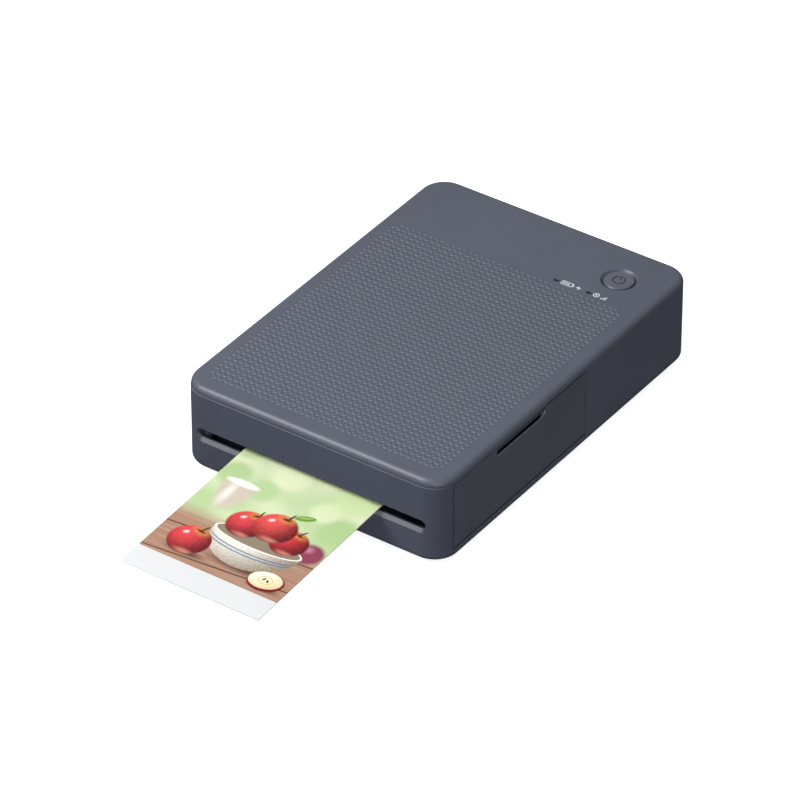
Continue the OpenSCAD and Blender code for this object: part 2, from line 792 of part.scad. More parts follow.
module case_screws() {
    color("#8d8f94") case_corners() difference() {
        translate([0, 0, base_z + 0.1]) {
            cylinder(r = screw_head_r, h = screw_head_h);
            cylinder(r = screw_d / 2 - 0.02, h = screw_l);
        }
        cylinder(r = 0.7, h = base_z + 0.8, $fn = 6);
    }
}

// ---- Controls and electronics ----

module power_button() {
    stem_low = board_z + board_t + switch_h + 0.3 + button_travel + 0.1;
    flange_z = ceil_z - 0.3 - button_flange;
    color("#5d606a") translate([button_x, button_y, 0]) difference() {
        union() {
            translate([0, 0, flange_z]) cylinder(r = button_d / 2, h = button_top - flange_z - 0.3);
            translate([0, 0, button_top - 0.3 - eps])
                cylinder(r1 = button_d / 2, r2 = button_d / 2 - 0.3, h = 0.3 + eps);
            translate([0, 0, flange_z]) cylinder(r = button_d / 2 + 0.9, h = button_flange);
            translate([0, 0, stem_low]) cylinder(r = 1.2, h = flange_z - stem_low + eps);
        }
        translate([0, 0, button_top - mark_depth]) linear_extrude(1) power_mark();
    }
}

// The usual power mark: an open ring with a bar in its gap
module power_mark() {
    gap = 4 * mark_line;
    difference() {
        circle(mark_r + mark_line / 2);
        circle(mark_r - mark_line / 2);
        translate([-gap / 2, 0]) square([gap, 2 * mark_r]);
    }
    translate([-mark_line / 2, mark_line]) square([mark_line, mark_r]);
}

module light_guides() {
    low = board_z + board_t + 0.8;
    color("#d8dade") for (x = lamp_x) translate([x, lamp_y, 0]) {
        translate([0, 0, low]) linear_extrude(case_h - lamp_recess - low) stadium(lamp_l, lamp_w);
        translate([0, 0, ceil_z - 0.8]) linear_extrude(0.8) stadium(lamp_l + 1.6, lamp_w + 1.6);
    }
}

module main_board() {
    color("#1f5a3a") difference() {
        span([-board_half, board_front, board_z], [board_half, board_back, board_z + board_t]);
        for (p = standoffs) translate([p[0], p[1], board_z - 1]) cylinder(r = 1, h = 3);
        case_corners() translate([0, 0, board_z - 1]) cylinder(r = boss_r + 0.5, h = 3);
    }
}

module board_parts() {
    top = board_z + board_t;
    color("#2b2b30") {
        span([-14, board_front + 8, top], [0, board_front + 22, top + 1.2]);
        span([-30, board_front + 12, top], [-21, board_front + 21, top + 1]);
        span([2, board_back - 16, top], [8, board_back - 10, top + 1]);
        span([button_x - switch_s / 2, button_y - switch_s / 2, top],
            [button_x + switch_s / 2, button_y + switch_s / 2, top + switch_h]);
        translate([button_x, button_y, top + switch_h - eps]) cylinder(r = 0.9, h = 0.3 + eps);
        for (x = lamp_x) span([x - 0.8, lamp_y - 0.5, top], [x + 0.8, lamp_y + 0.5, top + 0.7]);
        span([usb_x - 12, board_back - 8, board_z - 3], [usb_x - 6, board_back - 2, board_z]);
    }
}

module usb_socket() {
    color("silver") difference() {
        usb_body(usb_w, usb_h, usb_l);
        translate([0, 1, 0]) usb_body(usb_w - 0.6, usb_h - 0.6, usb_l - 1);
    }
    color("#222") translate([usb_x - 3, in_back + wall - 1.6 - usb_l + 1 - eps, board_z - usb_h / 2 - 0.35])
        cube([6, 5.6, 0.7]);
}

module usb_body(w, h, l) {
    translate([usb_x, in_back + wall - 0.6 - usb_l, board_z - usb_h / 2]) rotate([-90, 0, 0])
        linear_extrude(l) stadium(w, h);
}

module battery_pack() {
    z = upper_guide_z + guide_t;
    color("#9aa0ab") translate([battery_at[0], battery_at[1], z + battery_h / 2])
        cube([battery_w, battery_l, battery_h], center = true);
}

// ---- Engine frame ----

frame_low = floor_z + 0.3;
frame_front = boss_y * -1 + boss_r + clear;
frame_back = upper_guide_back + 1;
frame_step = cassette_back + 1.6;
frame_ledge = upper_guide_z + guide_t;
window_ease = 0.5;
tie_y = grip_y - grip_r - 1.6;
tie_t = 0.8;
rear_tie_y = cassette_back + 0.4;
bracket_front = low_guide_at[0] + 1.7;
bracket_back = pivot_at[0] + pivot_r + 1.3;
bracket_low = pivot_at[1] - pivot_r - 1.4;

module lower_seats() {
    for (p = [grip_at, platen_at, pickup_at]) translate(p) circle(bush_r);
}

module head_seats() {
    translate(cam_at) circle(bush_r);
    translate(pivot_at) circle(pivot_r + 0.02);
}

module left_frame() {
    color("#b9bcc0") along_x(-frame_x - frame_t, frame_t) difference() {
        union() {
            translate([frame_front, frame_low])
                square([lift_motor_at[0] + lift_motor_d / 2 - frame_front, bridge_z - frame_low]);
            translate([frame_front, frame_low]) square([frame_back - frame_front,
                frame_ledge - frame_low]);
        }
        lower_seats();
        head_seats();
        translate(take_up_at) circle(hub_neck_r + 0.3);
        for (p = [feed_motor_at, lift_motor_at]) translate(p) circle(pinion_r + 0.8);
    }
}

// The right frame stops under the outline of the cassette, which slides in over it
module right_frame() {
    tab_l = bush_r * 2 - 0.4;
    color("#b9bcc0") along_x(frame_x, frame_t) difference() {
        union() {
            translate([frame_front, frame_low])
                square([frame_back - frame_front, path_at(grip_y)[1] - 0.3 - frame_low]);
            translate([pinch_at[0] - tab_l / 2, frame_low]) square([tab_l, pinch_at[1] + 2.2 - frame_low]);
            translate([rear_tie_y, frame_low]) square([frame_back - rear_tie_y, frame_ledge - frame_low]);
            translate([rear_tie_y, frame_low]) square([2.4, bridge_z - frame_low]);
        }
        lower_seats();
        cassette_section(window_ease);
        ribbon_run(ribbon_t + 2 * window_ease);
        end_webs(window_ease);
    }
}

// Plate over the head with a bracket that hangs inside the ribbon's loop on the right
module head_bridge() {
    color("#c4c7cb") {
        span([-frame_x, bracket_front, bridge_z],
            [frame_x + frame_t, rear_tie_y + tie_t, bridge_z + bridge_t]);
        along_x(frame_x, frame_t) difference() {
            translate([bracket_front, bracket_low])
                square([bracket_back - bracket_front, bridge_z + eps - bracket_low]);
            head_seats();
            translate([bracket_front + 14, bracket_low + 5]) square([8, 4]);
        }
    }
}

module front_tie() {
    color("#b9bcc0") {
        span([-frame_x, tie_y, frame_low], [frame_x, tie_y + tie_t, path_z - 2]);
        for (s = [-1, 1]) span([s * (frame_x - 3) - 3, tie_y - 2, frame_low],
            [s * (frame_x - 3) + 3, tie_y + eps, frame_low + 0.8]);
    }
}

module rear_tie() {
    color("#b9bcc0") span([-frame_x, rear_tie_y, frame_ledge], [frame_x, rear_tie_y + tie_t, bridge_z]);
}

module roller_bushes() {
    color("#e6e2d6") for (p = [grip_at, platen_at, pickup_at, cam_at], s = [-1, 1]) {
        inner = s < 0 ? -frame_x : frame_x - bush_flange_t;
        tube_x(s < 0 ? -frame_x - frame_t : frame_x - eps, frame_t + eps, p, bush_r, shaft_r + fit_gap);
        tube_x(inner, bush_flange_t, p, bush_flange_r, shaft_r + fit_gap);
    }
}

module gear_studs() {
    color("#9a9da2") for (p = [feed_idler_at, front_idler_at, rear_idler_at, cam_idler_at]) {
        rod_x(gear_x - 0.1, gear_w + 0.6, p, stud_r);
        rod_x(gear_x - 0.9, 0.8, p, stud_r + 0.8);
    }
}

module motor(at, d, len) {
    color("#a7aab0") {
        rod_x(-frame_x, len, at, d / 2);
        rod_x(-frame_x + len - eps, 1.2, at, 2);
    }
}

module feed_motor() {
    motor(feed_motor_at, feed_motor_d, feed_motor_l);
}

module lift_motor() {
    motor(lift_motor_at, lift_motor_d, lift_motor_l);
}

// ---- Sheet path ----

module lower_sheet_guide() {
    z = path_z - sheet_t / 2 - 0.5 - guide_t;
    color("#33353b") {
        span([-frame_x, pickup_at[0] + 6, z], [frame_x, upper_guide_back, z + guide_t]);
        for (i = [-3:3]) span([i * 10 - 0.4, pickup_at[0] + 6, z + guide_t - eps],
            [i * 10 + 0.4, upper_guide_back, z + guide_t + 0.25]);
    }
}

module upper_sheet_guide() {
    color("#33353b") span([-frame_x, upper_guide_front, upper_guide_z],
        [frame_x, upper_guide_back, upper_guide_z + guide_t]);
}

// Curved ramp that turns a sheet from the stack up to the platen
module feed_ramp() {
    low = floor_z + 1;
    step_z = stack_z + 0.2;
    high = platen_at[1] + platen_r - 1;
    back = stack_front - 0.6;
    front = platen_y + platen_r + 0.5;
    color("#33353b") along_x(-frame_x, 2 * frame_x) polygon(concat(
        [[front, low], [back, low]],
        [for (i = [0:6]) let (t = i / 6) [back + (front - back) * t,
            step_z + (high - step_z) * (1 - cos(90 * t))]]));
}

module paper_stack() {
    color("white") span([-sheet_w / 2, stack_front, stack_z], [sheet_w / 2, stack_back, stack_top]);
}

// ---- Rollers and gear trains ----

module grip_roller() {
    color("#8f9296") {
        geared_shaft(grip_at, frame_x + frame_t + 0.3);
        rod_x(-roller_half, 2 * roller_half, grip_at, grip_r);
    }
}

module pinch_roller() {
    color("#3a3c41") {
        rod_x(-roller_half, 2 * roller_half, pinch_at, pinch_r);
        rod_x(-frame_x + 1.3, 2 * frame_x - 2.6, pinch_at, 1);
    }
}

// Sprung blocks on the side frames that press the pinch roller down
module pinch_holders() {
    color("#c9cbd0") for (s = [-1, 1]) along_x(s < 0 ? -frame_x : frame_x - 3.4, 3.4)
        translate(pinch_at) difference() {
            translate([-2.2, -1.7]) square([4.4, 4]);
            circle(1 + fit_gap);
        }
}

module platen_rubber() {
    color("#26272a") tube_x(-roller_half - 2, 2 * roller_half + 4, platen_at, platen_r, shaft_r + 0.6);
}

module platen_shaft() {
    color("#8f9296") {
        rod_x(-frame_x - frame_t - 0.3, 2 * (frame_x + frame_t + 0.3), platen_at, shaft_r);
        rod_x(-roller_half - 2, 2 * roller_half + 4, platen_at, shaft_r + 0.6);
    }
}

module pickup_tyres() {
    color("#26272a") for (s = [-1, 1])
        tube_x(s * tyre_x - tyre_w / 2, tyre_w, pickup_at, pickup_r, shaft_r + 0.4);
}

module pickup_shaft() {
    color("#8f9296") {
        geared_shaft(pickup_at, frame_x + frame_t + 0.3);
        for (s = [-1, 1]) rod_x(s * tyre_x - tyre_w / 2, tyre_w, pickup_at, shaft_r + 0.4);
    }
}

module grip_gear() {
    color("#d9d4c4") gear(grip_teeth, grip_turn, grip_at, hex_r, 6);
}

module feed_idler() {
    color("#d9d4c4") gear(feed_idler_teeth, feed_idler_turn, feed_idler_at, idler_bore, 12);
}

module feed_pinion() {
    color("#b08d4a") pinion(feed_motor_at, feed_pinion_turn);
}

module pinion(at, turn) {
    gear(pinion_teeth, turn, at, 0.8, 6);
    along_x(gear_x, -frame_x - gear_x - 0.1) translate(at) circle(0.8, $fn = 6);
}

hub_neck_r = 2.8;
module ribbon_hub() {
    color("#d9d4c4") {
        gear(hub_teeth, hub_turn, take_up_at, 0.5, 6);
        rod_x(gear_x + gear_w - eps, -frame_x - gear_x - gear_w + 0.6, take_up_at, hub_neck_r - 0.4);
        rod_x(-frame_x, 6, take_up_at, spool_bore_r - 0.35);
    }
}

module pickup_gear() {
    color("#d9d4c4") gear(pickup_teeth, pickup_turn, pickup_at, hex_r, 6);
}

module front_lift_idler() {
    color("#d9d4c4") gear(big_idler_teeth, front_idler_turn, front_idler_at, idler_bore, 12);
}

module rear_lift_idler() {
    color("#d9d4c4") gear(big_idler_teeth, rear_idler_turn, rear_idler_at, idler_bore, 12);
}

module lift_pinion() {
    color("#b08d4a") pinion(lift_motor_at, lift_pinion_turn);
}

module cam_idler() {
    color("#d9d4c4") gear(cam_idler_teeth, cam_idler_turn, cam_idler_at, idler_bore, 12);
}

// Turns freely on the cam shaft until its clutch grips
module cam_clutch_gear() {
    color("#d9d4c4") gear(cam_teeth, cam_gear_turn, cam_at, shaft_r + 0.1, 12);
}

// ---- Thermal head ----

// Cam whose radius grows evenly with its turn, so the head moves in step with it
function cam_radius(a) = cam_r0 + cam_rise * min(1, a / cam_sweep);
module cam_outline() {
    polygon(concat([for (i = [0:30]) let (a = i * 6) cam_radius(a) * [sin(a), -cos(a)]],
        [for (i = [1:11]) let (a = 180 + i * 15, r = cam_radius(180) - cam_rise * i / 12)
            r * [sin(a), -cos(a)]]));
}

module cam_shaft() {
    color("#8f9296") {
        rod_x(gear_x - 0.4, frame_x + frame_t + 0.2 - gear_x + 0.4, cam_at, shaft_r);
        for (s = [-1, 1]) along_x(s * cam_x - cam_w / 2, cam_w) translate(cam_at) rotate(-8) cam_outline();
    }
}

module head_pivot() {
    color("#8f9296") rod_x(-frame_x - frame_t, 2 * (frame_x + frame_t), pivot_at, pivot_r);
}

module thermal_head() {
    color("#9fa3a8") {
        along_x(-head_half, 2 * head_half) difference() {
            translate([head_front, head_block_z]) square([head_back - head_front, head_block_t]);
            for (i = [0:3]) translate([head_front + 3 + i * 3, head_block_z + 1.4]) square([1.2, 2]);
        }
        for (s = [-1, 1]) along_x(s * cam_x - 2.5, 5) difference() {
            union() {
                bar([head_back - 2, head_block_z + 1.1], pivot_at, 2.2);
                translate(pivot_at) circle(pivot_r + 1.1);
                translate([cam_at[0] - 3, head_block_z + head_block_t - eps])
                    square([6, head_pad_z - head_block_z - head_block_t + eps]);
                translate([head_front + 0.4, head_block_z + eps])
                    square([head_back - head_front - 0.8, head_block_t]);
            }
            translate(pivot_at) circle(pivot_r + fit_gap);
        }
    }
}

// Ceramic strip with the raised heating line
module print_head_strip() {
    color("#e8e6e0") along_x(-head_half + 3, 2 * head_half - 6) polygon([
        [head_front + 0.4, head_block_z], [head_front + 0.4, head_low + 0.3],
        [head_line_y - 0.6, head_low + 0.15], [head_line_y, head_low], [head_line_y + 0.6, head_low + 0.15],
        [head_back - 4, head_low + 0.3], [head_back - 4, head_block_z]]);
}

// ---- Ink cassette ----

// Where the ribbon leaves a pod: a slot in its wall
module pod_slots() {
    translate([take_up_at[0] + 2, high_guide_at[1] + 0.7]) square([6, 3.2]);
    translate(supply_at - [pod_r, 5.6]) square([3.6, 3.3]);
}

// Walls along the cassette that hold the bars which the ribbon turns round
module cassette_lips(grow) {
    shelf_y = take_up_at[0] + pod_r - 0.5;
    lip_t = lip_wall + 2 * grow;
    for (p = [low_guide_at, high_guide_at, supply_guide_at]) translate(p) circle(guide_r + grow);
    bar([shelf_y, high_guide_at[1]], high_guide_at, lip_t);
    bar(low_guide_at, low_guide_at + [0.1, 2.4], lip_t);
    bar(supply_guide_at, supply_at + (pod_r - 0.5) * [cos(195), sin(195)], lip_t);
}

// Section of the cassette: two round pods, with the lips that steer the ribbon
module cassette_section(grow) {
    difference() {
        for (p = [take_up_at, supply_at]) translate(p) circle(pod_r + grow);
        if (grow == 0) {
            for (p = [take_up_at, supply_at]) translate(p) circle(pod_r - pod_wall);
            pod_slots();
        }
    }
    cassette_lips(grow);
}

// Webs at the cassette's left end, low enough to pass under the lowered head
module end_webs(grow) {
    drop = [0, guide_r + link_t / 2 - 0.25];
    bar(low_guide_at, high_guide_at, link_t + 2 * grow);
    bar(low_guide_at - drop, supply_guide_at - drop, link_t + 2 * grow);
}

module cassette_shell() {
    color("#34363d") {
        along_x(cassette_left, plate_x - cassette_left) cassette_section(0);
        along_x(cassette_left, end_web) end_webs(0);
        along_x(cassette_left, 1.2) difference() {
            for (p = [take_up_at, supply_at]) translate(p) circle(pod_r - pod_wall + eps);
            spool_holes();
        }
    }
}

// Round holes that the spools' journals turn in
module spool_holes() {
    for (p = [take_up_at, supply_at]) translate(p) circle(journal_r + 0.1);
}

// Cap on the cassette's outer end, with two ribs to pull it by
module cassette_cap() {
    mid = (take_up_at[0] + supply_at[0]) / 2;
    low = low_guide_at[1] - guide_r;
    top = take_up_at[1] + 4.2;
    color("#3b3e46") {
        along_x(plate_x, end_plate_t) difference() {
            union() {
                for (p = [take_up_at, supply_at]) translate(p) circle(pod_r);
                translate([take_up_at[0], low]) square([supply_at[0] - take_up_at[0], top - low]);
            }
            spool_holes();
        }
        along_x(cassette_right - eps, handle_l) for (z = [take_up_at[1] + 1.4, take_up_at[1] - 2.4])
            translate([mid - 12, z]) square([24, 1.2]);
    }
}

// Middle line of the ribbon's run, from the supply spool under the head to the take-up spool
function ribbon_points() = let (off = guide_r + 0.1 + ribbon_t / 2) concat(
    [supply_at + (supply_wound_r + ribbon_t) * [cos(205), sin(205)]],
    [for (a = [293, 270]) supply_guide_at + off * [cos(a), sin(a)]],
    [for (a = [270, 225, 184]) low_guide_at + off * [cos(a), sin(a)]],
    [for (a = [4, 45, 78]) high_guide_at + off * [cos(a), sin(a)]],
    [take_up_at + (take_up_wound_r + ribbon_t) * [cos(72), sin(72)]]);

module ribbon_run(t) {
    p = ribbon_points();
    for (i = [0:len(p) - 2]) bar(p[i], p[i + 1], t);
}

module ink_ribbon() {
    half = frame_x - 5;
    color("#6d3a5c") along_x(-half, 2 * half) ribbon_run(ribbon_t);
}

module spool(at, wound) {
    len = spool_right - spool_left;
    color("#ddd7c6") {
        tube_x(cassette_left - 0.1, cassette_right - 0.7 - cassette_left, at, journal_r, spool_bore_r);
        tube_x(spool_left, len, at, core_r, spool_bore_r);
        for (x = [spool_left, spool_right - 0.8]) tube_x(x, 0.8, at, flange_r, core_r - eps);
        tube_x(spool_left + 2, len - 4, at, wound, core_r - eps);
    }
}

module supply_spool() {
    spool(supply_at, supply_wound_r);
}

module take_up_spool() {
    spool(take_up_at, take_up_wound_r);
}

module photo_print() {
    color("white") translate([-sheet_w / 2, front_y, path_z]) rotate([path_slope, 0, 0])
        translate([0, -print_out, -sheet_t / 2]) cube([sheet_w, sheet_l, sheet_t]);
}

base_housing();
top_housing();
cassette_door();
paper_cover();
pressure_plate();
pressure_springs();
rubber_feet();
case_screws();
power_button();
light_guides();
main_board();
board_parts();
usb_socket();
battery_pack();
left_frame();
right_frame();
front_tie();
rear_tie();
head_bridge();
roller_bushes();
gear_studs();
feed_motor();
lift_motor();
lower_sheet_guide();
upper_sheet_guide();
feed_ramp();
paper_stack();
grip_roller();
grip_gear();
pinch_roller();
pinch_holders();
platen_rubber();
platen_shaft();
feed_idler();
feed_pinion();
ribbon_hub();
pickup_tyres();
pickup_shaft();
pickup_gear();
front_lift_idler();
rear_lift_idler();
lift_pinion();
cam_idler();
cam_clutch_gear();
cam_shaft();
head_pivot();
thermal_head();
print_head_strip();
cassette_shell();
cassette_cap();
ink_ribbon();
supply_spool();
take_up_spool();
photo_print();
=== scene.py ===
import math

import json

import bpy
from mathutils import Matrix, Vector

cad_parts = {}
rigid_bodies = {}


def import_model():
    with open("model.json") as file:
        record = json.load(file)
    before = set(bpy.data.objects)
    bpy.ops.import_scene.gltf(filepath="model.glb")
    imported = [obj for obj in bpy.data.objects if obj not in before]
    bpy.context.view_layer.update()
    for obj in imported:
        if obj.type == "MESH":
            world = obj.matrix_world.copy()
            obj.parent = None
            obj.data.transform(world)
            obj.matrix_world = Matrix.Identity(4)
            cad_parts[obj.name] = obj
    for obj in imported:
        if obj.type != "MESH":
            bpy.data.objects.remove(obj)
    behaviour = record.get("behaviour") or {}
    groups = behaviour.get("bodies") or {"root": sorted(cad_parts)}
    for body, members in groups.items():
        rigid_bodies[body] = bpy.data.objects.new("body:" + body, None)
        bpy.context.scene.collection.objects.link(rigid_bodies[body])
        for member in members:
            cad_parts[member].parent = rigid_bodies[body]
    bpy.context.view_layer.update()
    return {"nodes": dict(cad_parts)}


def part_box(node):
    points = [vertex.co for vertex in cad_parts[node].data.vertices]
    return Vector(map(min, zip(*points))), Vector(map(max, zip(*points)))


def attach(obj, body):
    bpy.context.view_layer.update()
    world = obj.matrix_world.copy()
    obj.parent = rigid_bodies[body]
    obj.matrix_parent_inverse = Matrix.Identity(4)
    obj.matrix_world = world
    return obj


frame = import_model()
MM = 0.001


# ---- Camera ----
# A long lens on a tripod in front of the printer's right front corner, looking down on it from
# far enough away that the case's long edges stay nearly parallel.
camera_aim = Vector((0.02, -22.63, 16.5)) * MM
camera_azimuth = math.radians(34.80)
camera_elevation = math.radians(35.71)
camera_roll = math.radians(0.064)
camera_distance = 1974.0 * MM
lens_data = bpy.data.cameras.new("studio_camera")
lens_data.lens = 275.0
lens_data.sensor_width = 36.0
lens_data.clip_start = 0.05
lens_data.clip_end = 50.0
camera = bpy.data.objects.new("studio_camera", lens_data)
bpy.context.scene.collection.objects.link(camera)
camera_back = Vector((
    math.sin(camera_azimuth) * math.cos(camera_elevation),
    -math.cos(camera_azimuth) * math.cos(camera_elevation),
    math.sin(camera_elevation),
))
camera.rotation_mode = "QUATERNION"
camera.rotation_quaternion = (
    (-camera_back).to_track_quat("-Z", "Y").to_matrix() @ Matrix.Rotation(camera_roll, 3, "Z")
).to_quaternion()
camera.location = camera_aim + camera_back * camera_distance
bpy.context.scene.camera = camera


# ---- Studio: floor and lights ----
# The printer stands on an opal light table in a white room, under a wide soft box. A weak one in
# front and a small one low at the right front corner lift the walls; the right side stays darker.
def linear(code):
    """A colour as a linear RGBA tuple, from its sRGB hex code."""
    parts = [int(code[i:i + 2], 16) / 255 for i in (1, 3, 5)]
    return tuple(c / 12.92 if c <= 0.04045 else ((c + 0.055) / 1.055) ** 2.4 for c in parts) + (1.0,)


def add_node(tree, kind, inputs=None, **settings):
    """One node with its settings; inputs are values or the output sockets that feed them."""
    made = tree.nodes.new(kind)
    for name, value in settings.items():
        setattr(made, name, value)
    for socket, value in (inputs or {}).items():
        if isinstance(value, bpy.types.NodeSocket):
            tree.links.new(value, made.inputs[socket])
        else:
            made.inputs[socket].default_value = value
    return made


def new_material(name):
    """An empty node material: its tree and a Texture Coordinate node's Object output."""
    made = bpy.data.materials.new(name)
    made.use_nodes = True
    made.node_tree.nodes.clear()
    return made, made.node_tree, add_node(made.node_tree, "ShaderNodeTexCoord").outputs["Object"]


def finish_material(tree, shader):
    """Joins the shader to the material's output."""
    add_node(tree, "ShaderNodeOutputMaterial", {"Surface": shader.outputs[0]})


def deselect_all():
    """Nothing selected, so that an operator acts on the new piece alone."""
    if bpy.context.object and bpy.context.object.mode != "OBJECT":
        bpy.ops.object.mode_set(mode="OBJECT")
    bpy.ops.object.select_all(action="DESELECT")


floor_half = 3.0
floor_drop = 0.2 * MM  # keeps the table's top clear of the feet's soles
speckle_width = 25 * MM
deselect_all()
bpy.ops.mesh.primitive_plane_add(size=2 * floor_half, location=(0, 0, -floor_drop))
floor = bpy.context.object
floor.name = "light_table"
opal_top, tree, place = new_material("opal_acrylic_light_table")
# The opal sheet scatters a little unevenly. It is lit from below, so shadows on it are faint.
speckle = add_node(tree, "ShaderNodeTexNoise", {
    "Vector": place, "Scale": 1 / speckle_width, "Detail": 2.0,
})
opal_white = add_node(
    tree, "ShaderNodeMix",
    {0: speckle.outputs["Fac"], 6: linear("#e4e4e4"), 7: linear("#e8e8e8")}, data_type="RGBA",
)
opal_face = add_node(tree, "ShaderNodeBsdfDiffuse", {"Color": opal_white.outputs[2]})
opal_glow = add_node(tree, "ShaderNodeEmission", {"Color": linear("#ffffff"), "Strength": 0.8})
opal_both = add_node(tree, "ShaderNodeAddShader", {0: opal_face.outputs[0], 1: opal_glow.outputs[0]})
finish_material(tree, opal_both)
floor.data.materials.append(opal_top)
# Black flags stand round the table in the studio, so it throws no light up at the sides.
floor.visible_diffuse = False
floor.visible_glossy = False


def soft_box(name, place, aim, width, height, power):
    """A rectangular soft box at place, turned to aim."""
    data = bpy.data.lights.new(name, "AREA")
    data.shape = "RECTANGLE"
    data.size = width
    data.size_y = height
    data.energy = power
    lamp = bpy.data.objects.new(name, data)
    bpy.context.scene.collection.objects.link(lamp)
    lamp.location = place
    lamp.rotation_mode = "QUATERNION"
    lamp.rotation_quaternion = (Vector(aim) - Vector(place)).to_track_quat("-Z", "Y")


soft_box(
    "overhead_soft_box", place=(-0.33, -0.40, 0.60), aim=(-0.02, -0.05, 0),
    width=0.42, height=0.42, power=5.4,
)
soft_box(
    "front_soft_box", place=(-0.35, -1.0, 0.3), aim=(0, -0.07, 0.02),
    width=0.5, height=0.3, power=0.5,
)
soft_box(
    "corner_soft_box", place=(0.34, -0.42, 0.14), aim=(0.05, -0.07, 0.02),
    width=0.16, height=0.16, power=0.62,
)

room = bpy.data.worlds.new("white_room")
bpy.context.scene.world = room
room.use_nodes = True
room_tree = room.node_tree
# The room's ceiling is white and its lower half is dark.
facing = add_node(room_tree, "ShaderNodeSeparateXYZ", {
    "Vector": add_node(room_tree, "ShaderNodeTexCoord").outputs["Generated"],
})
brightness = add_node(room_tree, "ShaderNodeMapRange", {
    "Value": facing.outputs["Z"], "From Min": -0.25, "From Max": 0.6, "To Min": 0.12, "To Max": 0.5,
}, interpolation_type="SMOOTHSTEP")
backdrop = room_tree.nodes["Background"]
backdrop.inputs["Color"].default_value = linear("#f2f8ff")
room_tree.links.new(brightness.outputs[0], backdrop.inputs["Strength"])
bpy.context.scene.view_settings.view_transform = "Standard"
bpy.context.scene.view_settings.look = "None"


# ---- Housings, door and paper cover ----
# Four mouldings in one slate-grey ABS: a base with the front wall, a top with the sides and rear,
# the cassette door and the cover underneath. Their moulds are spark-eroded, which leaves a fine
# satin grain. The door is drawn a shade darker than the top as painted shade, and the cover darker.
def moulded_plastic(name, colour, shade, grain=0.35, gloss=0.46):
    """Moulded plastic from shade to colour, with a spark-eroded grain in mm; gloss is its roughness."""
    made, tree, place = new_material(name)
    # The real grain is about 0.05 mm; it is drawn coarser, or it wouldn't show.
    pit_depth = 0.02 * MM
    flow_width = 30 * MM
    pits = add_node(tree, "ShaderNodeTexNoise", {
        "Vector": place, "Scale": 1 / (grain * MM), "Detail": 3.0,
    })
    flow = add_node(tree, "ShaderNodeTexNoise", {"Vector": place, "Scale": 1 / flow_width, "Detail": 2.0})
    blotch = add_node(tree, "ShaderNodeMath", {
        0: pits.outputs["Fac"], 1: flow.outputs["Fac"],
    }, operation="MULTIPLY")
    tone = add_node(tree, "ShaderNodeMapRange", {
        "Value": blotch.outputs[0], "From Min": 0.12, "From Max": 0.38,
    })
    paint = add_node(
        tree, "ShaderNodeMix",
        {0: tone.outputs[0], 6: linear(shade), 7: linear(colour)}, data_type="RGBA",
    )
    sheen = add_node(
        tree, "ShaderNodeMapRange",
        {"Value": pits.outputs["Fac"], "To Min": gloss - 0.05, "To Max": gloss + 0.05},
    )
    bump = add_node(
        tree, "ShaderNodeBump",
        {"Height": pits.outputs["Fac"], "Strength": 0.25, "Distance": pit_depth},
    )
    finish_material(tree, add_node(tree, "ShaderNodeBsdfPrincipled", {
        "Base Color": paint.outputs[2], "Roughness": sheen.outputs[0], "Normal": bump.outputs[0],
        "IOR": 1.53, "Specular IOR Level": 0.5,
    }))
    return made


def dress(finish, *names):
    """Gives the slots of these CAD nodes that finish."""
    for name in names:
        for socket in frame["nodes"][name].material_slots:
            socket.material = finish


def add_mask(tree, place, limits):
    """1 where each named axis of the place lies between its two limits, and 0 elsewhere."""
    axes = add_node(tree, "ShaderNodeSeparateXYZ", {"Vector": place})
    mask = None
    for axis, (low, high) in limits.items():
        test = add_node(
            tree, "ShaderNodeMath",
            {0: axes.outputs[axis], 1: (low + high) / 2, 2: (high - low) / 2}, operation="COMPARE",
        )
        if mask:
            test = add_node(tree, "ShaderNodeMath", {0: mask, 1: test.outputs[0]}, operation="MULTIPLY")
        mask = test.outputs[0]
    return mask


def paint_over(finish, mask, code):
    """Another colour in a moulded finish, where the mask is 1."""
    shader = next(node for node in finish.node_tree.nodes if node.type == "BSDF_PRINCIPLED")
    under = shader.inputs["Base Color"].links[0].from_socket
    layered = add_node(
        finish.node_tree, "ShaderNodeMix", {0: mask, 6: under, 7: linear(code)}, data_type="RGBA",
    )
    finish.node_tree.links.new(layered.outputs[2], shader.inputs["Base Color"])


def place_in(finish):
    """The Object coordinates that a finish already reads."""
    return next(node for node in finish.node_tree.nodes if node.type == "TEX_COORD").outputs["Object"]


def paint_patch(finish, code, limits, upward=False):
    """Another colour between limits in mm; with upward, only on faces that look up."""
    tree = finish.node_tree
    mask = add_mask(tree, place_in(finish), {
        axis: (low * MM, high * MM) for axis, (low, high) in limits.items()
    })
    if upward:
        looks_up = add_mask(tree, place_in(finish).node.outputs["Normal"], {"Z": (0.25, 1.1)})
        mask = add_node(tree, "ShaderNodeMath", {0: mask, 1: looks_up}, operation="MULTIPLY").outputs[0]
    paint_over(finish, mask, code)


top_abs = moulded_plastic("satin_moulded_abs_top", "#565a66", "#50535f", gloss=0.42)
front_abs = moulded_plastic("satin_moulded_abs_front", "#4f5361", "#484c59")
# The door's darker colour is painted shade on the case's right side.
door_abs = moulded_plastic("satin_moulded_abs_door", "#525861", "#4b5058")
# Where the mouldings end and meet, in millimetres; a patch reaches past the face that it paints.
past = 0.9
wall_low, wall_high = (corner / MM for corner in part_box("base_housing"))
door_low, door_high = (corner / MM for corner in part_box("cassette_door"))
door_front = wall_low.y + 6.9
notch_back = door_front + 51.5
door_back = door_front + 74.7
slot_half = 45.6
lid_joint = (wall_high.z - 0.25, wall_high.z + 0.27)
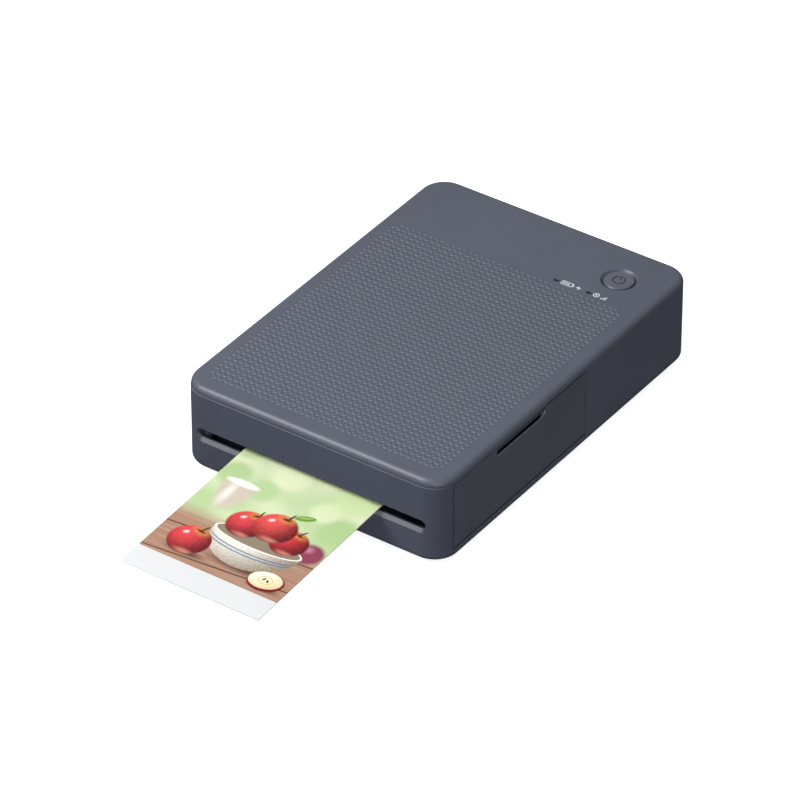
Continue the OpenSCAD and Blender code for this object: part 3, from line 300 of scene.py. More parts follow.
# Painted highlights lighten the thin edges that face up: the front wall's, the sill's and the door's.
paint_patch(front_abs, "#6c707c", {"Z": (wall_high.z - 0.12, wall_high.z + past)})
paint_patch(front_abs, "#7d818d", {
    "X": (wall_high.x - 0.35, wall_high.x + past),
    "Y": (door_front, door_back),
    "Z": (door_low.z - 0.6, door_low.z + 0.1),
}, upward=True)
paint_patch(door_abs, "#838791", {"Z": (door_high.z - 3.65, door_high.z + past)}, upward=True)
# Painted shade darkens what turns inwards: the joint under the lid, the notch and its far end,
# the print slot's throat and the foot of the walls.
paint_patch(top_abs, "#20222a", {"Y": (wall_low.y - past, door_front), "Z": lid_joint})
paint_patch(top_abs, "#20222a", {
    "X": (wall_high.x - 1.3, wall_high.x + past), "Y": (door_front, notch_back), "Z": lid_joint,
})
paint_patch(top_abs, "#17191f", {
    "X": (wall_high.x - 1.5, wall_high.x + past),
    "Y": (notch_back - 0.2, door_back),
    "Z": (wall_high.z - 0.25, wall_high.z + 0.55),
})
paint_patch(top_abs, "#121419", {
    "X": (wall_high.x - 2.1, wall_high.x + past),
    "Y": (notch_back - 2.4, notch_back + 0.2),
    "Z": (door_high.z - 3.45, door_high.z + 0.35),
})
paint_patch(front_abs, "#3a3d48", {
    "X": (-slot_half, slot_half),
    "Y": (wall_low.y + 0.1, wall_low.y + 12.9),
    "Z": (wall_low.z + 3.5, wall_low.z + 22.5),
}, upward=True)
paint_patch(front_abs, "#25272e", {"Z": (wall_low.z - 0.5, wall_low.z + 0.5)})
# Painted light: the two faces of the door's rear joint are painted pale, so the joint's shade hardly shows
# when shut.
rear_joint = {"X": (wall_high.x - 1.1, wall_high.x + past), "Z": (door_low.z + 0.1, door_high.z - 0.05)}
paint_patch(door_abs, "#8a8f99", {"Y": (door_back - 0.18, door_back - 0.1), **rear_joint})
paint_patch(top_abs, "#8a8f99", {"Y": (door_back + 0.1, door_back + 0.2), **rear_joint})
dress(top_abs, "top_housing")
dress(front_abs, "base_housing")
dress(door_abs, "cassette_door")
cover_abs = moulded_plastic("coarse_moulded_abs_cover", "#3f424a", "#383b42", grain=0.6, gloss=0.55)
dress(cover_abs, "paper_cover")


# ---- Woven-look relief on the top ----
# The mould for the top has a basket weave cut in it, so the lid carries rows of tiny raised
# strokes, one along the case and one across it in each cell. They are drawn lighter than the lid's plastic,
# a painted highlight.
weave_pitch = 2.29 * MM
weave_low = Vector((-46.0, -66.5)) * MM
weave_high = Vector((45.5, 40.5)) * MM
weave_corner = 3.0 * MM
field_middle = (weave_low + weave_high) / 2
field_half = (weave_high - weave_low) / 2 - Vector((weave_corner, weave_corner))
lid_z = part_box("top_housing")[1].z
stroke_slope = 0.08 * weave_pitch
shoulder = 0.35  # height of the stroke's edge, as a share of its rise
stroke_sizes = [  # length along X, length along Y, rise, and place in the cell, as shares of the pitch
    (0.56, 0.27, 0.085, (0.0, 0.0)),
    (0.22, 0.48, 0.040, (0.48, 0.36)),
]
# Both strokes' finishes are lighter than the lid's plastic: a painted highlight.
stroke_finishes = [
    moulded_plastic("satin_moulded_abs_weave_long_painted_highlight", "#5d616d", "#575b67", gloss=0.38),
    moulded_plastic("satin_moulded_abs_weave_cross_painted_highlight", "#585c68", "#535763", gloss=0.4),
]


def pick_faces(piece, chosen):
    """Opens the piece in edit mode, with only the faces selected that chosen says yes to."""
    bpy.ops.object.mode_set(mode="EDIT")
    bpy.ops.mesh.select_all(action="DESELECT")
    bpy.ops.object.mode_set(mode="OBJECT")
    for face in piece.data.polygons:
        face.select = chosen(face)
    bpy.ops.object.mode_set(mode="EDIT")


def weave_stroke(name, along_x, along_y, rise, corner):
    """One raised stroke with sloping sides and a crowned top, at the first place in the field."""
    deselect_all()
    bpy.ops.mesh.primitive_cube_add(size=1, location=(corner.x, corner.y, lid_z))
    stroke = bpy.context.object
    stroke.name = name
    stroke.scale = (along_x, along_y, 2 * rise)
    bpy.ops.object.transform_apply(location=True, rotation=True, scale=True)
    pick_faces(stroke, lambda face: face.normal.z > 0.9)
    bpy.ops.mesh.inset(thickness=stroke_slope, depth=0)
    bpy.ops.object.mode_set(mode="OBJECT")
    for point in stroke.data.vertices:
        if point.co.z > lid_z and abs(point.co.x - corner.x) > 0.49 * along_x:
            point.co.z = lid_z + shoulder * rise
    pick_faces(stroke, lambda face: face.normal.z < -0.9)
    bpy.ops.mesh.delete(type="FACE")
    bpy.ops.object.mode_set(mode="OBJECT")
    return stroke


def fill_field(stroke):
    """Repeats the stroke over the field and clears what falls outside its rounded corners."""
    counts = [int((weave_high[i] - weave_low[i]) / weave_pitch) + 1 for i in (0, 1)]
    for axis, count in enumerate(counts):
        rows = stroke.modifiers.new("rows", "ARRAY")
        rows.count = count
        rows.use_relative_offset = False
        rows.use_constant_offset = True
        rows.constant_offset_displace = [weave_pitch if i == axis else 0 for i in range(3)]
        bpy.ops.object.modifier_apply(modifier=rows.name)
    for face in stroke.data.polygons:
        face.select = False
    for point in stroke.data.vertices:
        past_x = max(abs(point.co.x - field_middle.x) - field_half.x, 0)
        past_y = max(abs(point.co.y - field_middle.y) - field_half.y, 0)
        point.select = math.hypot(past_x, past_y) > weave_corner
    bpy.ops.object.mode_set(mode="EDIT")
    bpy.ops.mesh.select_linked()
    bpy.ops.mesh.delete(type="VERT")
    bpy.ops.object.mode_set(mode="OBJECT")


strokes = []
for number, (*shares, cell) in enumerate(stroke_sizes):
    corner = weave_low + Vector((0.5 + cell[0], 0.5 + cell[1])) * weave_pitch
    stroke = weave_stroke(f"weave_stroke_{number}", *(share * weave_pitch for share in shares), corner)
    stroke.data.materials.append(stroke_finishes[number])
    fill_field(stroke)
    strokes.append(stroke)
deselect_all()
for stroke in strokes:
    stroke.select_set(True)
bpy.context.view_layer.objects.active = strokes[0]
bpy.ops.object.join()
lid_weave = bpy.context.object
lid_weave.name = "lid_weave"
bpy.ops.object.transform_apply(location=True, rotation=True, scale=True)
bpy.ops.object.shade_smooth_by_angle(angle=math.radians(50))
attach(lid_weave, "root")
# Inside the field the ground between the strokes is painted darker, a painted shade, and the
# strokes are painted lighter still, a painted highlight. Towards the field's edge both fade out.
fade_start = weave_corner - 1.4 * MM
fade_end = weave_corner + 0.4 * MM
for finish, code in zip([top_abs, *stroke_finishes], ("#50545f", "#717580", "#666a75")):
    tree = finish.node_tree
    beyond = add_node(tree, "ShaderNodeMapping", {
        "Vector": place_in(finish), "Location": (-field_middle.x, -field_middle.y, 0), "Scale": (1, 1, 0),
    }).outputs[0]
    for step, by in (("ABSOLUTE", None), ("SUBTRACT", (*field_half, 0)), ("MAXIMUM", (0, 0, 0))):
        measure = add_node(tree, "ShaderNodeVectorMath", {0: beyond}, operation=step)
        if by:
            measure.inputs[1].default_value = by
        beyond = measure.outputs[0]
    distance = add_node(tree, "ShaderNodeVectorMath", {0: beyond}, operation="LENGTH").outputs["Value"]
    fade = add_node(tree, "ShaderNodeMapRange", {
        "Value": distance, "From Min": fade_end, "From Max": fade_start,
    }, interpolation_type="SMOOTHSTEP")
    paint_over(finish, fade.outputs[0], code)


# ---- Power button ----
# A round cap in the lid's plastic, sitting low in a shallow dish, with the usual power mark sunk
# in it. It is polished a little by fingers.
button_abs = moulded_plastic("satin_moulded_abs_button", "#5b5e69", "#555863", gloss=0.4)
button_low, button_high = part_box("power_button")
mark_floor = button_high.z - 0.06 * MM
mark_depth = 0.3 * MM
mark_reach = 2.7 * MM
middle = (button_low + button_high) / 2
# The sunk mark's faces are painted dark: painted shade in its groove.
paint_over(button_abs, add_mask(button_abs.node_tree, place_in(button_abs), {
    "X": (middle.x - mark_reach, middle.x + mark_reach),
    "Y": (middle.y - mark_reach, middle.y + mark_reach),
    "Z": (mark_floor - mark_depth, mark_floor),
}), "#22242c")
dress(button_abs, "power_button")


# ---- Indicator lights ----
# Two small smoked acrylic rods that carry light up from the board and end just below the lid.
# Unlit, they look like two dark oblong holes with a faint frost in them.
def smoked_acrylic():
    """Smoked clear acrylic, with the frosted end that spreads the light."""
    made, tree, place = new_material("smoked_acrylic_light_guide")
    frost = add_node(tree, "ShaderNodeTexNoise", {"Vector": place, "Scale": 1 / (0.3 * MM), "Detail": 2.0})
    smoke = add_node(
        tree, "ShaderNodeMix",
        {0: frost.outputs["Fac"], 6: linear("#141418"), 7: linear("#24252b")}, data_type="RGBA",
    )
    dull = add_node(tree, "ShaderNodeMapRange", {
        "Value": frost.outputs["Fac"], "To Min": 0.12, "To Max": 0.3,
    })
    finish_material(tree, add_node(tree, "ShaderNodeBsdfPrincipled", {
        "Base Color": smoke.outputs[2], "Roughness": dull.outputs[0], "IOR": 1.49,
    }))
    return made


dress(smoked_acrylic(), "light_guides")


# ---- Marks beside the lights ----
# Small white marks, pad-printed on the lid after moulding: a battery with a bolt beside the
# charge light, and a ring with bars beside the status light.
ink_height = 0.02 * MM


def printed_shape(name, outline, hole=None):
    """A flat patch of ink with that outline, and a hole in it where one is given."""
    deselect_all()
    bpy.ops.mesh.primitive_plane_add(size=1, location=(0, 0, 0))
    patch = bpy.context.object
    patch.name = name
    bpy.ops.object.mode_set(mode="EDIT")
    bpy.ops.mesh.select_all(action="SELECT")
    bpy.ops.mesh.delete(type="VERT")
    bpy.ops.object.mode_set(mode="OBJECT")
    loops = [outline] if hole is None else [outline, hole]
    points = [Vector((x * MM, y * MM, lid_z + ink_height)) for loop in loops for x, y in loop]
    edges, start = [], 0
    for loop in loops:
        edges += [(start + i, start + (i + 1) % len(loop)) for i in range(len(loop))]
        start += len(loop)
    patch.data.from_pydata(points, edges, [])
    bpy.ops.object.mode_set(mode="EDIT")
    bpy.ops.mesh.select_all(action="SELECT")
    if hole is None:
        bpy.ops.mesh.edge_face_add()
    else:
        bpy.ops.mesh.bridge_edge_loops()
    bpy.ops.mesh.normals_make_consistent(inside=False)
    bpy.ops.object.mode_set(mode="OBJECT")
    if patch.data.polygons[0].normal.z < 0:
        patch.data.flip_normals()
    skin = patch.modifiers.new("ink", "SOLIDIFY")
    skin.thickness = 2 * ink_height
    skin.offset = -1
    bpy.ops.object.modifier_apply(modifier=skin.name)
    return patch


def ring_points(x, y, radius, count=32):
    """Points round a circle."""
    angles = [math.tau * i / count for i in range(count)]
    return [(x + radius * math.cos(angle), y + radius * math.sin(angle)) for angle in angles]


def box_points(x, y, width, height):
    """The corners of a rectangle with its centre at x, y."""
    return [(x + sx * width / 2, y + sy * height / 2) for sx, sy in ((-1, -1), (1, -1), (1, 1), (-1, 1))]


# The marks are laid out in millimetres.
charge_x = 20.7
status_x = 32.1
middle_y = 43.4
bolt = [(-1.0, -0.1), (0.15, 1.0), (0.0, 0.15), (1.0, 0.1), (-0.15, -1.0), (0.0, -0.15)]
bolt_x = charge_x + 4.4
marks = [
    printed_shape("battery_outline", box_points(charge_x, middle_y, 4.3, 2.1),
                  box_points(charge_x, middle_y, 3.6, 1.5)),
    printed_shape("battery_tip", box_points(charge_x + 2.42, middle_y, 0.36, 0.9)),
    printed_shape("charging_bolt", [(bolt_x + 1.1 * x, middle_y + 1.05 * y) for x, y in bolt]),
    printed_shape("status_ring", ring_points(status_x, middle_y, 1.15),
                  ring_points(status_x, middle_y, 0.8)),
    printed_shape("status_dot", ring_points(status_x, middle_y, 0.38)),
]
for i in range(3):
    charged = box_points(charge_x - 1.1 + 0.85 * i, middle_y, 0.5, 0.95)
    strength = box_points(status_x + 2.2 + 0.72 * i, middle_y - 0.75 + 0.3 * i, 0.42, 0.6 + 0.6 * i)
    marks += [printed_shape(f"battery_cell_{i}", charged), printed_shape(f"status_bar_{i}", strength)]
deselect_all()
for patch in marks:
    patch.select_set(True)
bpy.context.view_layer.objects.active = marks[0]
bpy.ops.object.join()
light_marks = bpy.context.object
light_marks.name = "light_marks"
pad_ink, tree, place = new_material("white_pad_printing_ink")
thin = add_node(tree, "ShaderNodeTexNoise", {"Vector": place, "Scale": 1 / (0.4 * MM), "Detail": 2.0})
white = add_node(
    tree, "ShaderNodeMix",
    {0: thin.outputs["Fac"], 6: linear("#c9cbd2"), 7: linear("#e6e7ea")}, data_type="RGBA",
)
finish_material(tree, add_node(tree, "ShaderNodeBsdfPrincipled", {
    "Base Color": white.outputs[2], "Roughness": 0.55,
}))
light_marks.data.materials.append(pad_ink)
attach(light_marks, "root")


# ---- Feet and case screws ----
# Four turned-over rubber pads, pressed into seats in the base, and four blackened steel screws
# sunk in its corners.
def moulded_rubber(name, colour, shade):
    """Matt rubber with a fine dusty bloom."""
    made, tree, place = new_material(name)
    bloom = add_node(tree, "ShaderNodeTexNoise", {"Vector": place, "Scale": 1 / (0.8 * MM), "Detail": 4.0})
    black = add_node(
        tree, "ShaderNodeMix",
        {0: bloom.outputs["Fac"], 6: linear(shade), 7: linear(colour)}, data_type="RGBA",
    )
    bump = add_node(tree, "ShaderNodeBump", {
        "Height": bloom.outputs["Fac"], "Strength": 0.3, "Distance": 0.03 * MM,
    })
    finish_material(tree, add_node(tree, "ShaderNodeBsdfPrincipled", {
        "Base Color": black.outputs[2], "Roughness": 0.78, "IOR": 1.52, "Normal": bump.outputs[0],
    }))
    return made


def worked_metal(name, colour, shade, roughness, along, line=0.12, streak=40.0):
    """Metal with lines left by rolling, drawing or grinding, along one axis; line is their width in mm."""
    made, tree, place = new_material(name)
    stretch = [1.0 if i != along else 1 / streak for i in range(3)]
    run = add_node(tree, "ShaderNodeMapping", {"Vector": place, "Scale": stretch})
    lines = add_node(tree, "ShaderNodeTexNoise", {
        "Vector": run.outputs[0], "Scale": 1 / (line * MM), "Detail": 3.0,
    })
    cloud = add_node(tree, "ShaderNodeTexNoise", {"Vector": place, "Scale": 1 / (9 * MM), "Detail": 2.0})
    both = add_node(tree, "ShaderNodeMath", {
        0: lines.outputs["Fac"], 1: cloud.outputs["Fac"],
    }, operation="ADD")
    tone = add_node(tree, "ShaderNodeMapRange", {
        "Value": both.outputs[0], "From Min": 0.7, "From Max": 1.3,
    })
    tint = add_node(
        tree, "ShaderNodeMix",
        {0: tone.outputs[0], 6: linear(shade), 7: linear(colour)}, data_type="RGBA",
    )
    dull = add_node(
        tree, "ShaderNodeMapRange",
        {"Value": lines.outputs["Fac"], "To Min": roughness - 0.06, "To Max": roughness + 0.08},
    )
    bump = add_node(tree, "ShaderNodeBump", {
        "Height": lines.outputs["Fac"], "Strength": 0.2, "Distance": 0.01 * MM,
    })
    finish_material(tree, add_node(tree, "ShaderNodeBsdfPrincipled", {
        "Base Color": tint.outputs[2], "Metallic": 1.0,
        "Roughness": dull.outputs[0], "Normal": bump.outputs[0],
    }))
    return made


along_x, along_y, along_z = 0, 1, 2
dress(moulded_rubber("moulded_nitrile_rubber", "#232427", "#1a1b1d"), "rubber_feet")
dress(worked_metal("blackened_screw_steel", "#4a4a4c", "#343436", 0.42, along_z), "case_screws")


# ---- Engine frame ----
# Side plates, ties, head bridge and pressure plate are pressed from zinc-plated sheet, so they
# show the faint spangle and rolling lines of the strip. The springs are hardened strip steel.
zinc_sheet = worked_metal("zinc_plated_sheet_steel", "#b4b8bc", "#9da1a6", 0.34, along_y, line=0.3)
dress(zinc_sheet, "left_frame", "right_frame", "front_tie", "rear_tie", "head_bridge", "pressure_plate")
dress(worked_metal("spring_strip_steel", "#8f959c", "#747a82", 0.26, along_y), "pressure_springs")


# ---- Shafts, rollers and studs ----
# Ground silver steel for everything that turns or is turned on; the grip roller's middle is
# etched with small spikes that hold the sheet. The rubber rollers are ground matt.
ground_steel = worked_metal(
    "ground_silver_steel", "#a8abae", "#8b8e92", 0.22, along_z, line=0.15, streak=25.0,
)
dress(ground_steel, "gear_studs", "head_pivot", "pickup_shaft", "platen_shaft", "cam_shaft", "pinch_roller")


def spiked_steel():
    """Ground steel with a fine pattern of etched spikes over the part that drives the sheet."""
    made, tree, place = new_material("etched_grip_steel")
    etched_half = 30 * MM
    spikes = add_node(tree, "ShaderNodeTexVoronoi", {
        "Vector": place, "Scale": 1 / (0.5 * MM), "Randomness": 0.3,
    })
    shaft = add_node(tree, "ShaderNodeSeparateXYZ", {"Vector": place})
    inside = add_node(tree, "ShaderNodeMath", {0: shaft.outputs["X"]}, operation="ABSOLUTE")
    etched = add_node(tree, "ShaderNodeMath", {
        0: inside.outputs[0], 1: etched_half,
    }, operation="LESS_THAN")
    height = add_node(tree, "ShaderNodeMath", {
        0: spikes.outputs["Distance"], 1: etched.outputs[0],
    }, operation="MULTIPLY")
    tint = add_node(
        tree, "ShaderNodeMix",
        {0: height.outputs[0], 6: linear("#9a9da1"), 7: linear("#6f7277")}, data_type="RGBA",
    )
    bump = add_node(tree, "ShaderNodeBump", {
        "Height": height.outputs[0], "Strength": 0.6, "Distance": 0.05 * MM,
    }, invert=True)
    finish_material(tree, add_node(tree, "ShaderNodeBsdfPrincipled", {
        "Base Color": tint.outputs[2], "Metallic": 1.0, "Roughness": 0.36, "Normal": bump.outputs[0],
    }))
    return made


dress(spiked_steel(), "grip_roller")
dress(moulded_rubber("ground_silicone_rubber", "#3a3b3e", "#2e2f32"), "platen_rubber", "pickup_tyres")


# ---- Gears, bushes and bearing blocks ----
# Natural white acetal, moulded; it is slightly waxy and a little translucent at its edges. The
# motors' pinions are turned from brass.
def moulded_acetal():
    """Natural acetal: warm white, waxy, with faint flow marks."""
    made, tree, place = new_material("natural_moulded_acetal")
    flow = add_node(tree, "ShaderNodeTexNoise", {"Vector": place, "Scale": 1 / (2.5 * MM), "Detail": 3.0})
    wax = add_node(
        tree, "ShaderNodeMix",
        {0: flow.outputs["Fac"], 6: linear("#d3cdbf"), 7: linear("#e6e2d7")}, data_type="RGBA",
    )
    dull = add_node(tree, "ShaderNodeMapRange", {
        "Value": flow.outputs["Fac"], "To Min": 0.3, "To Max": 0.42,
    })
    finish_material(tree, add_node(tree, "ShaderNodeBsdfPrincipled", {
        "Base Color": wax.outputs[2], "Roughness": dull.outputs[0], "IOR": 1.48,
        "Subsurface Weight": 0.15, "Subsurface Radius": (0.002, 0.0018, 0.0014),
    }))
    return made


dress(
    moulded_acetal(), "roller_bushes", "pinch_holders", "grip_gear", "feed_idler", "ribbon_hub",
    "pickup_gear", "front_lift_idler", "rear_lift_idler", "cam_idler", "cam_clutch_gear",
)
brass = worked_metal("turned_brass", "#c9a257", "#b08a45", 0.3, along_z, line=0.1)
dress(brass, "feed_pinion", "lift_pinion")


# ---- Motors ----
# Two small direct-current motors: a zinc-plated can, drawn from sheet and left matt, with a black
# moulded end bell that carries the brushes.
def motor_can(name, bell_edge):
    """Matt zinc-plated can up to bell_edge along X, and black plastic beyond it."""
    made, tree, place = new_material(name)
    axis = add_node(tree, "ShaderNodeSeparateXYZ", {"Vector": place})
    bell = add_node(tree, "ShaderNodeMapRange", {
        "Value": axis.outputs["X"], "From Min": bell_edge, "From Max": bell_edge + 0.05 * MM,
    })
    spangle = add_node(tree, "ShaderNodeTexNoise", {
        "Vector": place, "Scale": 1 / (0.5 * MM), "Detail": 3.0,
    })
    zinc = add_node(
        tree, "ShaderNodeMix",
        {0: spangle.outputs["Fac"], 6: linear("#5f6267"), 7: linear("#75787d")}, data_type="RGBA",
    )
    both = add_node(
        tree, "ShaderNodeMix",
        {0: bell.outputs[0], 6: zinc.outputs[2], 7: linear("#1c1d20")}, data_type="RGBA",
    )
    metal = add_node(tree, "ShaderNodeMath", {0: 1.0, 1: bell.outputs[0]}, operation="SUBTRACT")
    dull = add_node(tree, "ShaderNodeMapRange", {
        "Value": bell.outputs[0], "To Min": 0.46, "To Max": 0.5,
    })
    finish_material(tree, add_node(tree, "ShaderNodeBsdfPrincipled", {
        "Base Color": both.outputs[2], "Metallic": metal.outputs[0], "Roughness": dull.outputs[0],
    }))
    return made


bell_length = 4 * MM
for motor in ("feed_motor", "lift_motor"):
    dress(motor_can(f"zinc_plated_{motor}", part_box(motor)[1].x - bell_length), motor)


# ---- Sheet guides ----
# Two guides and a ramp steer each sheet from the bay to the rollers. They are moulded in black
# glass-filled plastic, smooth and with a low sheen.
black_moulding = moulded_plastic("glass_filled_black_moulding", "#25262a", "#1e1f22", grain=0.5, gloss=0.4)
dress(black_moulding, "lower_sheet_guide", "upper_sheet_guide", "feed_ramp")


# ---- Electronics ----
# A green glass-fibre board with its tracks under the solder mask, black moulded chips, a
# stainless socket shell and a pouch battery in grey shrink film.
def solder_mask():
    """Green solder mask, lighter over the copper tracks that run under it, with tinned pads."""
    made, tree, place = new_material("green_solder_mask_on_glass_fibre")
    track_pitch = 1.3 * MM
    track_gap = 0.22 * MM
    pad_pitch = 3.4 * MM
    tracks = add_node(
        tree, "ShaderNodeTexBrick",
        {"Vector": place, "Scale": 1.0, "Mortar Size": track_gap, "Mortar Smooth": 0.0,
         "Brick Width": 7.0 * MM, "Row Height": track_pitch,
         "Color1": linear("#12452c"), "Color2": linear("#154e31"), "Mortar": linear("#1f6b42")},
    )
    pads = add_node(tree, "ShaderNodeTexVoronoi", {
        "Vector": place, "Scale": 1 / pad_pitch, "Randomness": 0.7,
    })
    tinned = add_node(tree, "ShaderNodeMath", {
        0: pads.outputs["Distance"], 1: 0.14,
    }, operation="LESS_THAN")
    colour = add_node(
        tree, "ShaderNodeMix",
        {0: tinned.outputs[0], 6: tracks.outputs["Color"], 7: linear("#c4c2b4")}, data_type="RGBA",
    )
    finish_material(tree, add_node(tree, "ShaderNodeBsdfPrincipled", {
        "Base Color": colour.outputs[2], "Metallic": tinned.outputs[0], "Roughness": 0.32,
    }))
    return made


def shrink_film():
    """Grey shrink film over a pouch cell, faintly wrinkled."""
    made, tree, place = new_material("grey_shrink_film")
    folds = add_node(tree, "ShaderNodeTexNoise", {
        "Vector": place, "Scale": 1 / (6 * MM), "Detail": 3.0, "Distortion": 1.2,
    })
    grey = add_node(
        tree, "ShaderNodeMix",
        {0: folds.outputs["Fac"], 6: linear("#7e848d"), 7: linear("#989ea7")}, data_type="RGBA",
    )
    bump = add_node(tree, "ShaderNodeBump", {
        "Height": folds.outputs["Fac"], "Strength": 0.5, "Distance": 0.2 * MM,
    })
    finish_material(tree, add_node(tree, "ShaderNodeBsdfPrincipled", {
        "Base Color": grey.outputs[2], "Roughness": 0.25, "Normal": bump.outputs[0],
    }))
    return made


dress(solder_mask(), "main_board")
dress(moulded_plastic("epoxy_chip_moulding", "#222327", "#191a1d", grain=0.3, gloss=0.5), "board_parts")
dress(worked_metal("stainless_socket_shell", "#a9adb1", "#8f9398", 0.3, along_y), "usb_socket")
dress(shrink_film(), "battery_pack")


# ---- Print head ----
# A finned bar of extruded aluminium that sheds heat, with a glazed ceramic strip under it whose
# thin heating line is darker than the glaze.
def glazed_ceramic():
    """Off-white glazed ceramic with the dark heating line along its lowest edge."""
    made, tree, place = new_material("glazed_alumina_strip")
    body = add_node(tree, "ShaderNodeTexNoise", {"Vector": place, "Scale": 1 / (1.5 * MM), "Detail": 2.0})
    cream = add_node(
        tree, "ShaderNodeMix",
        {0: body.outputs["Fac"], 6: linear("#d8d4c8"), 7: linear("#e9e6dd")}, data_type="RGBA",
    )
    line_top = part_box("print_head_strip")[0].z + 0.08 * MM
    height = add_node(tree, "ShaderNodeSeparateXYZ", {"Vector": place})
    line = add_node(tree, "ShaderNodeMath", {0: height.outputs["Z"], 1: line_top}, operation="LESS_THAN")
    colour = add_node(
        tree, "ShaderNodeMix",
        {0: line.outputs[0], 6: cream.outputs[2], 7: linear("#4b3a31")}, data_type="RGBA",
    )
    finish_material(tree, add_node(tree, "ShaderNodeBsdfPrincipled", {
        "Base Color": colour.outputs[2], "Roughness": 0.15, "IOR": 1.6,
    }))
    return made


dress(worked_metal("extruded_aluminium", "#b3b6ba", "#9c9fa4", 0.36, along_x, line=0.2), "thermal_head")
dress(glazed_ceramic(), "print_head_strip")


# ---- Ink cassette ----
# A disposable cassette: a dark styrene body and cap, white spools, and the dyed film wound on
# them in long panels of yellow, magenta, cyan and clear.
def dyed_film(name, wound_from=None, wound_to=None):
    """Dye panels along the film; on a spool, the film shows only from wound_from to wound_to along X."""
    made, tree, place = new_material(name)
    axis = add_node(tree, "ShaderNodeSeparateXYZ", {"Vector": place})
    tape = add_node(tree, "ShaderNodeMath", {0: axis.outputs["Y"], 1: axis.outputs["Z"]}, operation="ADD")
    share = add_node(tree, "ShaderNodeMapRange", {
        "Value": tape.outputs[0], "From Min": -40 * MM, "From Max": 20 * MM,
    })
    panels = add_node(tree, "ShaderNodeValToRGB", {"Fac": share.outputs[0]})
    dyes = panels.color_ramp
    dyes.interpolation = "CONSTANT"
    dyes.elements[0].color = linear("#3a1f35")
    dyes.elements[1].color = linear("#6a5a16")
    for spot, code in ((0.3, "#5b1237"), (0.62, "#123a55"), (0.85, "#6a5a16")):
        dyes.elements.new(spot).color = linear(code)
    ripple = add_node(tree, "ShaderNodeTexNoise", {"Vector": place, "Scale": 1 / (5 * MM), "Detail": 2.0})
    bump = add_node(tree, "ShaderNodeBump", {
        "Height": ripple.outputs["Fac"], "Strength": 0.3, "Distance": 0.1 * MM,
    })
    colour = panels.outputs[0]
    if wound_to is not None:
        past = add_node(tree, "ShaderNodeMath", {
            0: axis.outputs["X"], 1: wound_from,
        }, operation="GREATER_THAN")
        short = add_node(tree, "ShaderNodeMath", {
            0: axis.outputs["X"], 1: wound_to,
        }, operation="LESS_THAN")
        film = add_node(tree, "ShaderNodeMath", {
            0: past.outputs[0], 1: short.outputs[0],
        }, operation="MULTIPLY")
        spool = add_node(tree, "ShaderNodeMix", {
            0: film.outputs[0], 6: linear("#d9d7ce"), 7: colour,
        }, data_type="RGBA")
        colour = spool.outputs[2]
    finish_material(tree, add_node(tree, "ShaderNodeBsdfPrincipled", {
        "Base Color": colour, "Roughness": 0.24, "Normal": bump.outputs[0],
    }))
    return made


cassette_body = moulded_plastic("dark_moulded_styrene", "#34363d", "#2c2e34", grain=0.4, gloss=0.36)
dress(cassette_body, "cassette_shell")
cap_styrene = moulded_plastic("dark_moulded_styrene_cap", "#3d4048", "#34363d", grain=0.4, gloss=0.4)
dress(cap_styrene, "cassette_cap")
dress(dyed_film("dyed_ribbon_film"), "ink_ribbon")
film_left, film_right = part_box("ink_ribbon")[0].x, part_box("ink_ribbon")[1].x
for spool in ("supply_spool", "take_up_spool"):
    dress(dyed_film(f"film_wound_on_{spool}", film_left, film_right), spool)


# ---- Paper and the print ----
# Coated photo paper, a stack of it in the bay and one sheet on its way out. The sheet carries a
# soft still life of fruit on a table, from its white leading stub to its trailing one.
def paper_edges():
    """Bright white paper whose stacked edges show as fine lines."""
    made, tree, place = new_material("coated_photo_paper_stack")
    sheet_thickness = 0.28 * MM
    height = add_node(tree, "ShaderNodeSeparateXYZ", {"Vector": place})
    level = add_node(tree, "ShaderNodeMath", {
        0: height.outputs["Z"], 1: 1 / sheet_thickness,
    }, operation="MULTIPLY")
    edge = add_node(tree, "ShaderNodeMath", {0: level.outputs[0]}, operation="FRACT")
    gap = add_node(tree, "ShaderNodeMath", {0: edge.outputs[0], 1: 0.18}, operation="LESS_THAN")
    colour = add_node(
        tree, "ShaderNodeMix",
        {0: gap.outputs[0], 6: linear("#efeeea"), 7: linear("#b9b8b3")}, data_type="RGBA",
    )
    finish_material(tree, add_node(tree, "ShaderNodeBsdfPrincipled", {
        "Base Color": colour.outputs[2], "Roughness": 0.4,
    }))
    return made


dress(paper_edges(), "paper_stack")
print_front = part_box("photo_print")[0].y
# The stub and the picture's length along the sheet, in millimetres
stub = 9.8
picture_length = 86.0


